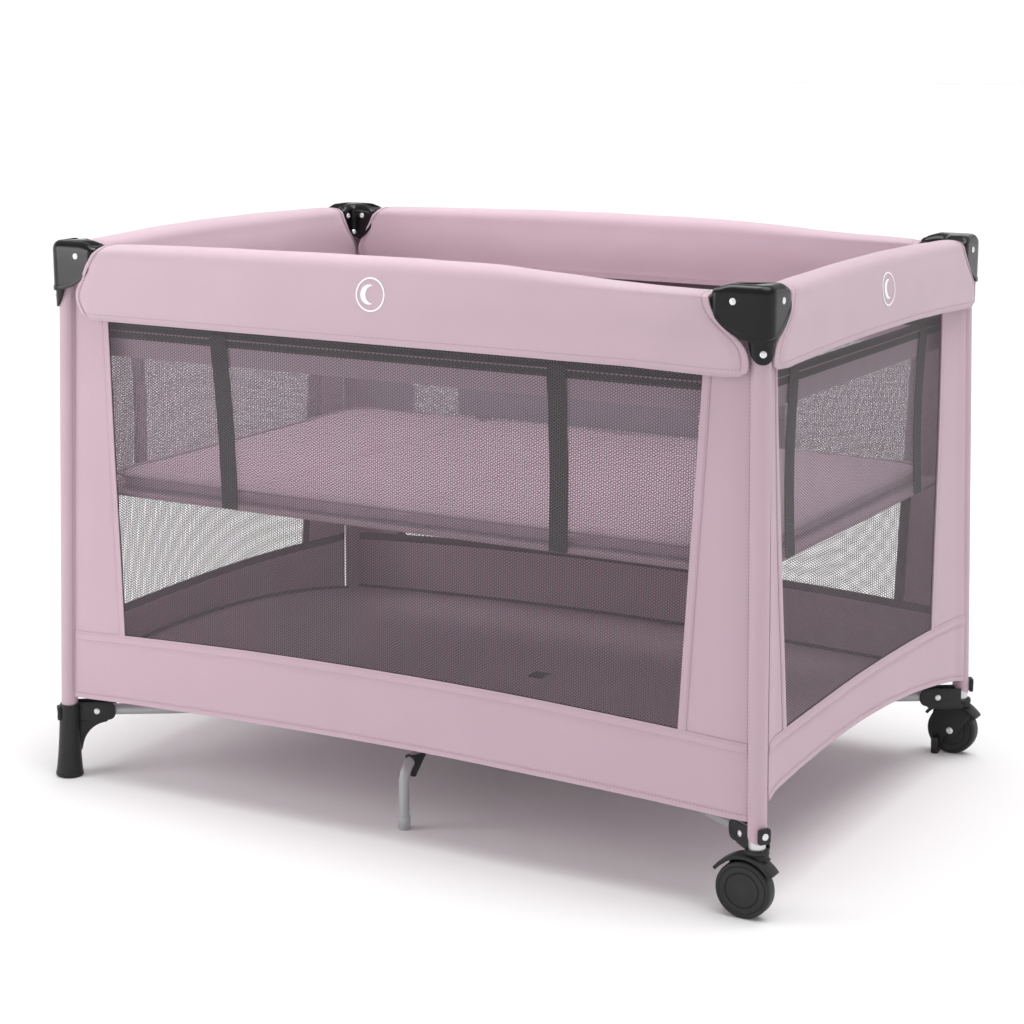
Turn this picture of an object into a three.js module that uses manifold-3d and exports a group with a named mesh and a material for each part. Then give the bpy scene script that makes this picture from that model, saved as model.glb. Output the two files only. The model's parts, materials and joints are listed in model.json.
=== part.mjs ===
// A folding travel playpen: four posts in plastic corner caps, eight half rails that break downwards
// at centre locks, an X of lower tubes on a centre hub, fabric walls and floor, a raised bassinet
// insert with its mattress, two feet at one end and two fixed wheels at the other.
// Millimetres, +Z up, X along the long sides, wheels at +X. The floor is at Z = 0.
import * as THREE from 'three';
import { mergeVertices } from 'three/addons/utils/BufferGeometryUtils.js';
import Module from 'manifold-3d';

const wasm = await Module();
wasm.setup();

// ---------- driving dimensions ----------

const HEIGHT = 760; // floor to the top of the corner caps
const SPACING_X = 1026; // between post axes at cap-top height
const SPACING_Y = 684;
const SPLAY = 20; // how far out each post leans by the time it meets the floor, in X and in Y

const RAIL_DROP = 22; // from the caps' top down to the axis of the top rails
const LOWER_ABOVE_WHEEL = 21; // from a wheel's top up to the axis of the lower tubes
const FLOOR_ABOVE_TUBES = 25; // from that axis up to the underside of the fabric floor
const INSERT_DROP = 88; // from the top rails' axis down to the rim of the bassinet insert
const INSERT_DEPTH = 239; // from that rim down to the underside of the insert's floor

const POST_RADIUS = 10.5;
const RAIL_RADIUS = 9;
const LOWER_RADIUS = 8;
const LEG_RADIUS = 7;
const TUBE_WALL = 1.2;
const COVER_RADIUS = 19; // padded cover round a top rail
const PIN_RADIUS = 2.5;

const CAP_DEPTH = 68; // height of a corner cap
const CAP_HALF = 20; // from the post axis to a cap's outer faces
const CAP_REACH_X = 59; // from the post axis to the end of a cap's arm, along the long side
const CAP_REACH_Y = 46;
const CAP_PIVOT_X = 32; // from the post axis to the pivot of a long rail
const CAP_PIVOT_Y = 28;
const LOCK_PIVOT_LONG = 34; // from the middle of a long rail to the pivots in its lock
const LOCK_PIVOT_SHORT = 22;
const HUB_PIVOT = 68; // from the middle of the hub to the lower tubes' pivots
const LEG_PIVOT = 60; // from the middle of the hub to the centre legs' pivots
const LEG_INSET = 49; // from the line between two posts, at the floor, to a centre leg's foot
const STUB = 5; // how far a tube runs on past its pivot

const WALL_THICKNESS = 2; // fabric, as a solid sheet
const FLOOR_THICKNESS = 3;
const WALL_DROP = 30; // from the top rails' axis down to a wall sheet's edge
const HUB_PLATE = 3.5; // the hub's top plate, over its cheeks
const PLASTIC = 3.5; // cheeks of brackets, caps and locks
const MATTRESS_THICKNESS = 25;
const WHEEL_RADIUS = 36;
const WHEEL_WIDTH = 20;
const WHEEL_INBOARD = 14; // wheel axle to post axis at the floor, along X
const WHEEL_OUTBOARD = 4; // the same across, along Y
const AXLE_RADIUS = 4;
const FENDER_GAP = 3.5; // between a wheel and its fender
const FENDER_THICKNESS = 3.5;
const FOOT_BASE = 6; // thickness of a foot under its post
const FOOT_RADIUS = 20;
const COLLAR_WALL = 4; // of the collar round a post that holds a lower tube
const CHEEK_HALF = 13; // half the height of that collar and its cheeks
const POST_IN_CAP = 28; // how far a post runs up into its cap
const BUTTON_TRAVEL = 5;
const BUTTON_STEM = 3.6; // half the width of a release button's square stem
const LOCK_FLOOR = 2.5;

const GAP = 0.3; // between faces that touch
const SLIP = 0.6; // each side of a tube between two cheeks

// ---------- what follows from them ----------

const RAIL_HEIGHT = HEIGHT - RAIL_DROP;
const LOWER_HEIGHT = 2 * WHEEL_RADIUS + LOWER_ABOVE_WHEEL;
const FLOOR_HEIGHT = LOWER_HEIGHT + FLOOR_ABOVE_TUBES;
const INSERT_TOP = RAIL_HEIGHT - INSERT_DROP;
const INSERT_HEIGHT = INSERT_TOP - INSERT_DEPTH;
const LEAN = SPLAY / HEIGHT;
const CAP_BOTTOM = HEIGHT - CAP_DEPTH;
const halfX = (z) => SPACING_X / 2 + LEAN * (HEIGHT - z);
const halfY = (z) => SPACING_Y / 2 + LEAN * (HEIGHT - z);
const LONG_RAIL = halfX(RAIL_HEIGHT) - CAP_PIVOT_X - LOCK_PIVOT_LONG; // pivot to pivot
const SHORT_RAIL = halfY(RAIL_HEIGHT) - CAP_PIVOT_Y - LOCK_PIVOT_SHORT;
// The lower tubes have to shorten in plan exactly as the rails do, in X and in Y at once.
const LOWER_TUBE = Math.hypot(LONG_RAIL, SHORT_RAIL);
const LOWER_ANGLE = Math.atan2(SHORT_RAIL, LONG_RAIL);
const RAIL_SLOT = RAIL_RADIUS + SLIP;
const STUB_SWEEP = Math.hypot(STUB, RAIL_RADIUS) + SLIP; // room for a rail's end to turn
const COVER_FROM_CAP_PIVOT = RAIL_HEIGHT - CAP_BOTTOM + 3; // a folded cover hangs below its cap
const COVER_FROM_LOCK_PIVOT = 30; // folded covers clear each other and the lock
const POST_END_AT_WHEEL = WHEEL_RADIUS * 2 + FENDER_GAP + FENDER_THICKNESS + 1;
const POST_TOP = CAP_BOTTOM + POST_IN_CAP;
const HUB_CHEEK_TOP = LOWER_RADIUS + 3;
const WALL_TOP = RAIL_HEIGHT - WALL_DROP;
const WALL_FROM_POST = CAP_HALF + 3; // a wall sheet's edge, from the post axis at its height
const SIDES = 12; // of a round bar

const METAL = { color: 0xb9babd, roughness: 0.35, metalness: 0.9 };
const GREY_TUBE = { color: 0x8d8e92, roughness: 0.45, metalness: 0.6 };
const GLOSS_BLACK = { color: 0x141416, roughness: 0.25, metalness: 0 };
const MATT_BLACK = { color: 0x1b1b1d, roughness: 0.6, metalness: 0 };
const PINK = { color: 0xcf7f9e, roughness: 0.9, metalness: 0 };
const PALE_PINK = { color: 0xe3a5bb, roughness: 0.9, metalness: 0 };
const DARK_FABRIC = { color: 0x3a3440, roughness: 0.95, metalness: 0 };

const playpen = new THREE.Group();

// ---------- solids ----------

// A closed geometry as a solid that can be joined and cut.
function solid(geometry) {
  const bare = geometry.index ? geometry.toNonIndexed() : geometry;
  for (const name of ['normal', 'uv']) bare.deleteAttribute(name);
  const merged = mergeVertices(bare, 1e-3);
  return new wasm.Manifold(new wasm.Mesh({
    numProp: 3,
    vertProperties: merged.attributes.position.array,
    triVerts: new Uint32Array(merged.index.array),
  }));
}

function geometryOf(made) {
  const { vertProperties, triVerts } = made.getMesh();
  const geometry = new THREE.BufferGeometry();
  geometry.setAttribute('position', new THREE.BufferAttribute(vertProperties, 3));
  geometry.setIndex(new THREE.BufferAttribute(triVerts, 1));
  return geometry;
}

const join = (...solids) => solids.reduce((sum, next) => sum.add(next));
const cut = (from, ...solids) => solids.reduce((rest, next) => rest.subtract(next), from);

// A box between two opposite corners, given in any order.
function box([x0, y0, z0], [x1, y1, z1]) {
  const geometry = new THREE.BoxGeometry(Math.abs(x1 - x0), Math.abs(y1 - y0), Math.abs(z1 - z0));
  return solid(geometry.translate((x0 + x1) / 2, (y0 + y1) / 2, (z0 + z1) / 2));
}

// A round bar from one point to another, which may taper.
function rod(from, to, radius, endRadius = radius, sides = SIDES) {
  const a = new THREE.Vector3(...from);
  const along = new THREE.Vector3(...to).sub(a);
  const geometry = new THREE.CylinderGeometry(endRadius, radius, along.length(), sides);
  const turn = new THREE.Quaternion().setFromUnitVectors(
    new THREE.Vector3(0, 1, 0), along.clone().normalize());
  geometry.applyQuaternion(turn);
  return solid(geometry.translate(...a.addScaledVector(along, 0.5).toArray()));
}

// A plate whose outline is drawn in X and Z, with its thickness along Y from y0 to y1.
function plate(outline, y0, y1) {
  const shape = new THREE.Shape(outline.map(([x, z]) => new THREE.Vector2(x, z)));
  const geometry = new THREE.ExtrudeGeometry(shape, { depth: y1 - y0, bevelEnabled: false });
  return solid(geometry.rotateX(Math.PI / 2).translate(0, y1, 0));
}

// A solid turned about the vertical.
const turned = (made, angle) => made.rotate([0, 0, THREE.MathUtils.radToDeg(angle)]);

// A straight tube along +X from its pivot at the origin to its pivot at length, with the cross
// holes for both pins along Y.
function pivotTube(length, radius) {
  const [low, high] = [-STUB, length + STUB];
  const holes = [0, length].map((x) =>
    rod([x, -2 * radius, 0], [x, 2 * radius, 0], PIN_RADIUS + GAP, PIN_RADIUS + GAP, 8));
  return cut(
    rod([low, 0, 0], [high, 0, 0], radius),
    rod([low - 1, 0, 0], [high + 1, 0, 0], radius - TUBE_WALL),
    ...holes,
  );
}

const pinAcross = (x, halfLength, z = 0) =>
  rod([x, -halfLength, z], [x, halfLength, z], PIN_RADIUS, PIN_RADIUS, 8);

function addMesh(parent, name, made, look) {
  const material = new THREE.MeshStandardMaterial(look);
  const mesh = new THREE.Mesh(geometryOf(made), material);
  mesh.name = name;
  parent.add(mesh);
  return mesh;
}

function place(object, position, turnZ = 0) {
  object.position.set(...position);
  object.rotation.z = turnZ;
  return object;
}

// ---------- corners ----------

// A corner's own frame has its origin where the post's axis meets the floor. sx and sy are the
// corner's signs, so -sx and -sy point into the playpen.
const axisAt = (sx, sy, z) => [-sx * LEAN * z, -sy * LEAN * z, z];

const postRod = (sx, sy, low, high, radius, highRadius = radius) =>
  rod(axisAt(sx, sy, low), axisAt(sx, sy, high), radius, highRadius, 16);

// A box in a corner's frame: u runs inwards along X, v inwards along Y, from the post's axis at
// rail height.
function cornerBlock(sx, sy, [u0, u1], [v0, v1], [z0, z1]) {
  const [cx, cy] = axisAt(sx, sy, RAIL_HEIGHT);
  return box([cx - sx * u0, cy - sy * v0, z0], [cx - sx * u1, cy - sy * v1, z1]);
}

function cornerCap(sx, sy) {
  const arm = RAIL_SLOT + PLASTIC;
  const slotTop = RAIL_HEIGHT + STUB_SWEEP;
  const armBottom = RAIL_HEIGHT - arm;
  const block = (u, v, z) => cornerBlock(sx, sy, u, v, z);
  const [cx, cy] = axisAt(sx, sy, RAIL_HEIGHT);
  const pinX = cx - sx * CAP_PIVOT_X;
  const pinY = cy - sy * CAP_PIVOT_Y;
  const tongue = turned(
    box([POST_RADIUS + 2, -9, CAP_BOTTOM - 23], [POST_RADIUS + 6, 9, CAP_BOTTOM + 10]),
    Math.atan2(sy, sx),
  ).translate([cx, cy, 0]);
  return join(
    cut(
      join(
        block([-CAP_HALF, CAP_HALF], [-CAP_HALF, CAP_HALF], [CAP_BOTTOM, HEIGHT]),
        block([0, CAP_REACH_X], [-arm, arm], [armBottom, HEIGHT]),
        block([-arm, arm], [0, CAP_REACH_Y], [armBottom, HEIGHT]),
        tongue,
      ),
      block([CAP_PIVOT_X - STUB_SWEEP, CAP_REACH_X + 1], [-RAIL_SLOT, RAIL_SLOT], [0, slotTop]),
      block([-RAIL_SLOT, RAIL_SLOT], [CAP_PIVOT_Y - STUB_SWEEP, CAP_REACH_Y + 1], [0, slotTop]),
      postRod(sx, sy, 0, POST_TOP + GAP, POST_RADIUS + GAP),
    ),
    rod([pinX, cy - arm, RAIL_HEIGHT], [pinX, cy + arm, RAIL_HEIGHT], PIN_RADIUS, PIN_RADIUS, 8),
    rod([cx - arm, pinY, RAIL_HEIGHT], [cx + arm, pinY, RAIL_HEIGHT], PIN_RADIUS, PIN_RADIUS, 8),
  );
}

// Where a lower tube's pivot is, in its corner's frame.
function lowerPivot(sx, sy) {
  const reach = HUB_PIVOT + LOWER_TUBE;
  return [
    sx * (reach * Math.cos(LOWER_ANGLE) - halfX(0)),
    sy * (reach * Math.sin(LOWER_ANGLE) - halfY(0)),
  ];
}

// The collar round the post with the two cheeks that hold a lower tube, and the square rivet
// plate on the outside. It has no bottom of its own.
function tubeBracket(sx, sy, collarLow) {
  const [px, py] = lowerPivot(sx, sy);
  const slot = LOWER_RADIUS + SLIP;
  const outer = slot + PLASTIC;
  const [low, high, reach] = [LOWER_HEIGHT - CHEEK_HALF, LOWER_HEIGHT + CHEEK_HALF, 26];
  const inwards = Math.atan2(-sy * Math.sin(LOWER_ANGLE), -sx * Math.cos(LOWER_ANGLE));
  const [ax, ay] = axisAt(sx, sy, LOWER_HEIGHT);
  const fromPost = Math.atan2(py - ay, px - ax);
  const back = -Math.hypot(px, py);
  const cheek = (side) => box([back + 4, side * slot, low], [reach, side * outer, high]);
  const cheeks = join(
    cheek(1), cheek(-1),
    box([back + 4, -outer, low], [reach, outer, low + 3]),
    pinAcross(0, outer, LOWER_HEIGHT),
  );
  const web = turned(box([0, -8, collarLow], [Math.hypot(px, py), 8, low + 3]), fromPost);
  const rivetPlate = turned(
    box([POST_RADIUS, -8, LOWER_HEIGHT - 12], [POST_RADIUS + 7, 8, LOWER_HEIGHT + 8]),
    Math.atan2(sy, sx),
  );
  const collar = postRod(sx, sy, collarLow, high, POST_RADIUS + COLLAR_WALL);
  return join(
    collar,
    turned(cheeks, inwards).translate([px, py, 0]),
    web.translate([ax, ay, 0]),
    rivetPlate.translate([ax, ay, 0]),
  );
}

function foot(sx, sy) {
  const coneTop = LOWER_HEIGHT - 31;
  const cone = postRod(sx, sy, -FOOT_BASE, coneTop, FOOT_RADIUS, POST_RADIUS + COLLAR_WALL);
  return cut(
    join(cone, tubeBracket(sx, sy, coneTop - 2)),
    postRod(sx, sy, FOOT_BASE, HEIGHT, POST_RADIUS + GAP),
    box([-60, -60, -20], [60, 60, 0]),
  );
}

const wheelCentre = (sx, sy) => [-sx * WHEEL_INBOARD, sy * WHEEL_OUTBOARD, WHEEL_RADIUS];

// Wheel bracket: the tube bracket, a fender over the wheel, and an inner plate that carries the
// axle and ends in a stop foot on the floor.
function wheelBracket(sx, sy) {
  const inner = WHEEL_RADIUS + FENDER_GAP;
  const outer = inner + FENDER_THICKNESS;
  const half = WHEEL_WIDTH / 2;
  const [from, to] = [0.22 * Math.PI, 0.78 * Math.PI];
  const fenderShape = new THREE.Shape();
  fenderShape.absarc(0, 0, outer, from, to, false);
  fenderShape.absarc(0, 0, inner, to, from, true);
  const outline = fenderShape.getPoints(5).map((p) => [-sx * p.x, p.y]);
  if (sx > 0) outline.reverse();
  // y is measured from the wheel's middle plane, positive into the playpen.
  const ribbon = plate(outline, -half - 1, half + 4);
  const top = WHEEL_RADIUS - 2;
  const profile = [
    [-22, top], [-9, -5], [8, -8], [14, -WHEEL_RADIUS], [26, -WHEEL_RADIUS], [31, top - 6],
  ];
  const facing = sx > 0 ? profile.map(([u, z]) => [-u, z]).reverse() : profile;
  const panel = plate(facing, half + 0.7, half + 4);
  const stop = box([-sx * 14, half + 0.7, -WHEEL_RADIUS], [-sx * 26, half + 14, -6]);
  const axleHole = rod([0, -half, 0], [0, half + 20, 0], AXLE_RADIUS + GAP);
  let wheelSide = cut(join(ribbon, panel, stop), axleHole);
  if (sy > 0) wheelSide = wheelSide.mirror([0, 1, 0]);
  const [wx, wy, wz] = wheelCentre(sx, sy);
  return cut(
    join(wheelSide.translate([wx, wy, wz]), tubeBracket(sx, sy, POST_END_AT_WHEEL - 4)),
    postRod(sx, sy, POST_END_AT_WHEEL, HEIGHT, POST_RADIUS + GAP),
  );
}

// A ring about the Y axis, from a half profile of radius and position across.
function turnedRing(profile, segments) {
  const points = profile.map(([r, y]) => new THREE.Vector2(r, y));
  return solid(new THREE.LatheGeometry([...points, points[0]], segments));
}

function wheel() {
  const half = WHEEL_WIDTH / 2;
  const bore = AXLE_RADIUS + GAP;
  return turnedRing([
    [bore, -half], [WHEEL_RADIUS - 3, -half], [WHEEL_RADIUS, -half + 3],
    [WHEEL_RADIUS, half - 3], [WHEEL_RADIUS - 3, half], [bore, half],
  ], 24);
}

// Axle with a head outside the wheel and a riveted end behind the bracket's plate; y runs inwards.
function axlePin(sy) {
  const half = WHEEL_WIDTH / 2;
  const end = half + 4 + GAP;
  const made = join(
    rod([0, -half - GAP - 2, 0], [0, end + 2, 0], AXLE_RADIUS),
    rod([0, -half - GAP - 2, 0], [0, -half - GAP, 0], 8),
    rod([0, end, 0], [0, end + 2, 0], 7),
  );
  return sy > 0 ? made.mirror([0, 1, 0]) : made;
}

const CORNERS = [
  { name: 'front_left', sx: -1, sy: -1 },
  { name: 'front_right', sx: 1, sy: -1 },
  { name: 'rear_left', sx: -1, sy: 1 },
  { name: 'rear_right', sx: 1, sy: 1 },
];

function addCorner({ name, sx, sy }) {
  const corner = place(new THREE.Group(), [sx * halfX(0), sy * halfY(0), 0]);
  playpen.add(corner);
  const wheeled = sx > 0;
  const postLow = wheeled ? POST_END_AT_WHEEL + GAP : FOOT_BASE + GAP;
  const post = cut(
    postRod(sx, sy, postLow, POST_TOP, POST_RADIUS),
    postRod(sx, sy, postLow - 1, HEIGHT, POST_RADIUS - TUBE_WALL),
  );
  addMesh(corner, `post_${name}`, post, METAL);
  addMesh(corner, `corner_cap_${name}`, cornerCap(sx, sy), GLOSS_BLACK);
  if (!wheeled) {
    addMesh(corner, `foot_${name}`, foot(sx, sy), MATT_BLACK);
    return;
  }
  addMesh(corner, `wheel_bracket_${name}`, wheelBracket(sx, sy), MATT_BLACK);
  place(addMesh(corner, `wheel_${name}`, wheel(), MATT_BLACK), wheelCentre(sx, sy));
  place(addMesh(corner, `axle_${name}`, axlePin(sy), METAL), wheelCentre(sx, sy));
}

// ---------- top rails ----------

// A lock's own frame has X along its rail and its origin on the rail's axis. Its middle is solid
// round the release button; the rails swing up out of its open ends.
function railLock(pivot) {
  const floorTop = -STUB_SWEEP;
  const outer = RAIL_SLOT + PLASTIC;
  const end = pivot + 14;
  const core = pivot - STUB - RAIL_RADIUS + 1;
  const side = (s) => box([-end, s * RAIL_SLOT, floorTop], [end, s * outer, 9]);
  return cut(
    join(
      side(1), side(-1),
      box([-end, -outer, floorTop - LOCK_FLOOR], [end, outer, floorTop]),
      box([-core, -outer, floorTop], [core, outer, 11]),
      pinAcross(pivot, outer), pinAcross(-pivot, outer),
    ),
    box([-BUTTON_STEM - GAP, -BUTTON_STEM - GAP, -30], [BUTTON_STEM + GAP, BUTTON_STEM + GAP, 30]),
  );
}

function releaseButton() {
  const top = -STUB_SWEEP - LOCK_FLOOR - BUTTON_TRAVEL - 1;
  return join(
    box([-BUTTON_STEM, -BUTTON_STEM, top - 1], [BUTTON_STEM, BUTTON_STEM, 4]),
    box([-11, -8, top - 4], [11, 8, top]),
  );
}

function railCover(length) {
  const [start, end] = [COVER_FROM_CAP_PIVOT, length - COVER_FROM_LOCK_PIVOT];
  return cut(
    rod([start, 0, 0], [end, 0, 0], COVER_RADIUS),
    rod([start - 1, 0, 0], [end + 1, 0, 0], RAIL_RADIUS + 2 * GAP),
  );
}

// One side of the top: half rail A, lock with its button, half rail B, and a cover on each half.
function addRail({ name, at, turnZ, length, lockPivot }) {
  const rail = place(new THREE.Group(), at, turnZ);
  playpen.add(rail);
  const start = -(lockPivot + length);
  const halves = [
    { half: 'a', x: start, turn: 0 },
    { half: 'b', x: -start, turn: Math.PI },
  ];
  for (const { half, x, turn } of halves) {
    const tube = addMesh(rail, `rail_${name}_${half}`, pivotTube(length, RAIL_RADIUS), METAL);
    place(tube, [x, 0, 0], turn);
    const cover = addMesh(rail, `rail_cover_${name}_${half}`, railCover(length), PINK);
    place(cover, [x, 0, 0], turn);
  }
  addMesh(rail, `rail_lock_${name}`, railLock(lockPivot), MATT_BLACK);
  addMesh(rail, `release_button_${name}`, releaseButton(), MATT_BLACK);
}

function addRails() {
  const long = { length: LONG_RAIL, lockPivot: LOCK_PIVOT_LONG, turnZ: 0 };
  const short = { length: SHORT_RAIL, lockPivot: LOCK_PIVOT_SHORT, turnZ: Math.PI / 2 };
  const [x, y] = [halfX(RAIL_HEIGHT), halfY(RAIL_HEIGHT)];
  addRail({ name: 'front', at: [0, -y, RAIL_HEIGHT], ...long });
  addRail({ name: 'rear', at: [0, y, RAIL_HEIGHT], ...long });
  addRail({ name: 'left', at: [-x, 0, RAIL_HEIGHT], ...short });
  addRail({ name: 'right', at: [x, 0, RAIL_HEIGHT], ...short });
}

// ---------- lower frame ----------

// The hub's own frame has its origin on the lower tubes' level. Each tube and each centre leg
// hangs on a pin between two cheeks under the top plate.
function hub() {
  const [top, bottom, skin] = [HUB_CHEEK_TOP, -10, HUB_PLATE];
  const core = 45;
  const armAt = (angle, pivot, radius) => {
    const slot = radius + SLIP;
    const outer = slot + PLASTIC;
    const reach = pivot + 14;
    const arm = join(
      box([core - 6, slot, bottom], [reach, outer, top]),
      box([core - 6, -slot, bottom], [reach, -outer, top]),
      box([core - 6, -outer, top], [reach, outer, top + skin]),
      pinAcross(pivot, outer),
    );
    return turned(arm, angle);
  };
  return join(
    rod([0, 0, bottom], [0, 0, top + skin], core, core, 24),
    ...[LOWER_ANGLE, Math.PI - LOWER_ANGLE, Math.PI + LOWER_ANGLE, -LOWER_ANGLE].map((angle) =>
      armAt(angle, HUB_PIVOT, LOWER_RADIUS)),
    ...[Math.PI / 2, -Math.PI / 2].map((angle) => armAt(angle, LEG_PIVOT, LEG_RADIUS)),
  );
}

// A centre leg in its own frame: its pivot at the origin, running out along +X and down to the
// floor through one bend.
function centreLeg() {
  const reach = halfY(0) - LEG_INSET - LEG_PIVOT; // to the foot, from the pivot
  const bend = 34;
  const at = (x, z) => new THREE.Vector3(x, 0, z);
  const turnStart = at(reach - 8 - bend, 0);
  const turn = new THREE.QuadraticBezierCurve3(turnStart, at(reach - 6, 0), at(reach - 3, -bend));
  const points = [at(-STUB, 0), ...turn.getPoints(5), at(reach, -LOWER_HEIGHT)];
  const ring = (radius) => Array.from({ length: 10 }, (_, i) => {
    const angle = (i / 10) * 2 * Math.PI;
    return new THREE.Vector2(radius * Math.cos(angle), radius * Math.sin(angle));
  });
  const shape = new THREE.Shape(ring(LEG_RADIUS));
  shape.holes.push(new THREE.Path(ring(LEG_RADIUS - TUBE_WALL).reverse()));
  const route = new THREE.CatmullRomCurve3(points, false, 'centripetal');
  const tube = solid(new THREE.ExtrudeGeometry(shape, { steps: 24, extrudePath: route }));
  const pinHole = rod([0, -20, 0], [0, 20, 0], PIN_RADIUS + GAP, PIN_RADIUS + GAP, 8);
  const below = box([reach - 60, -60, -LOWER_HEIGHT - 30], [reach + 60, 60, -LOWER_HEIGHT]);
  return cut(tube, pinHole, below);
}

function addLowerFrame() {
  const frame = place(new THREE.Group(), [0, 0, LOWER_HEIGHT]);
  playpen.add(frame);
  const reach = HUB_PIVOT + LOWER_TUBE;
  for (const { name, sx, sy } of CORNERS) {
    const pivot = [sx * reach * Math.cos(LOWER_ANGLE), sy * reach * Math.sin(LOWER_ANGLE), 0];
    const made = pivotTube(LOWER_TUBE, LOWER_RADIUS);
    const tube = addMesh(frame, `lower_tube_${name}`, made, GREY_TUBE);
    place(tube, pivot, Math.atan2(-pivot[1], -pivot[0]));
  }
  addMesh(frame, 'hub', hub(), MATT_BLACK);
  for (const [name, sy] of [['front', -1], ['rear', 1]]) {
    const leg = addMesh(frame, `centre_leg_${name}`, centreLeg(), GREY_TUBE);
    place(leg, [0, sy * LEG_PIVOT, 0], (sy * Math.PI) / 2);
  }
  const strapTop = FLOOR_HEIGHT + FLOOR_THICKNESS + GAP - LOWER_HEIGHT;
  const strap = join(
    box([-12, -1, HUB_CHEEK_TOP + HUB_PLATE + GAP], [12, 1, strapTop + 1]),
    box([-12, -1, strapTop], [12, 110, strapTop + 2]),
  );
  addMesh(frame, 'pull_strap', strap, DARK_FABRIC);
}

// ---------- fabric ----------

// One wall, as a leaning sheet between two posts.
function addWall({ name, half, spread, turnZ }) {
  const low = FLOOR_HEIGHT;
  const slope = Math.hypot(1, LEAN);
  const edge = (z) => spread(z) - WALL_FROM_POST;
  const height = (WALL_TOP - low) * slope;
  const outline = [
    [-edge(low), 0], [edge(low), 0], [edge(WALL_TOP), height], [-edge(WALL_TOP), height],
  ];
  const sheet = plate(outline, -WALL_THICKNESS / 2, WALL_THICKNESS / 2);
  const panel = addMesh(new THREE.Group(), `wall_${name}`, sheet, PINK);
  const lean = new THREE.Group();
  lean.rotation.x = -Math.atan(LEAN);
  lean.position.set(0, -half(low), low);
  lean.add(panel);
  const side = place(new THREE.Group(), [0, 0, 0], turnZ);
  side.add(lean);
  playpen.add(side);
}

function addFabric() {
  addWall({ name: 'front', half: halfY, spread: halfX, turnZ: 0 });
  addWall({ name: 'rear', half: halfY, spread: halfX, turnZ: Math.PI });
  addWall({ name: 'left', half: halfX, spread: halfY, turnZ: -Math.PI / 2 });
  addWall({ name: 'right', half: halfX, spread: halfY, turnZ: Math.PI / 2 });

  const inside = WALL_THICKNESS / 2 + 2;
  const [x, y, corner] = [halfX(FLOOR_HEIGHT) - inside, halfY(FLOOR_HEIGHT) - inside, 34];
  const floorShape = new THREE.Shape([
    [x, corner - y], [x, y - corner], [x - corner, y], [corner - x, y],
    [-x, y - corner], [-x, corner - y], [corner - x, -y], [x - corner, -y],
  ].map(([a, b]) => new THREE.Vector2(a, b)));
  const floorSheet = solid(new THREE.ExtrudeGeometry(floorShape,
    { depth: FLOOR_THICKNESS, bevelEnabled: false }));
  const strapSlot = box([-16, -5, -1], [16, 5, FLOOR_THICKNESS + 1]);
  place(addMesh(playpen, 'pen_floor', cut(floorSheet, strapSlot), PALE_PINK), [0, 0, FLOOR_HEIGHT]);
}

// ---------- bassinet insert and mattress ----------

function addInsert() {
  const t = WALL_THICKNESS;
  const [x, y] = [halfX(INSERT_TOP) - 14, halfY(INSERT_TOP) - 12];
  const base = 3;
  const insert = place(new THREE.Group(), [0, 0, INSERT_HEIGHT]);
  playpen.add(insert);
  addMesh(insert, 'bassinet_floor', box([-x, -y, 0], [x, y, base]), PALE_PINK);
  const [low, high] = [base + GAP, INSERT_TOP - INSERT_HEIGHT];
  const across = y - t - GAP;
  addMesh(insert, 'bassinet_wall_front', box([-x, -y, low], [x, t - y, high]), DARK_FABRIC);
  addMesh(insert, 'bassinet_wall_rear', box([-x, y - t, low], [x, y, high]), DARK_FABRIC);
  addMesh(insert, 'bassinet_wall_left', box([-x, -across, low], [t - x, across, high]), DARK_FABRIC);
  addMesh(insert, 'bassinet_wall_right', box([x - t, -across, low], [x, across, high]), DARK_FABRIC);
  const play = 10;
  const [mx, my] = [x - t - play, y - t - play];
  const pad = box([-mx, -my, low], [mx, my, low + MATTRESS_THICKNESS]);
  addMesh(insert, 'mattress', pad, PALE_PINK);
}

CORNERS.forEach(addCorner);
addRails();
addLowerFrame();
addFabric();
addInsert();

// The wheels reach further out than the feet, so the whole is moved along X until its box is
// centred on the origin.
const assembly = new THREE.Group();
assembly.add(playpen);
playpen.position.x = -new THREE.Box3().setFromObject(playpen).getCenter(new THREE.Vector3()).x;

export default assembly;
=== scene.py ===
import json
import math

import bmesh
import bpy
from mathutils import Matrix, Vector, noise


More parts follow.
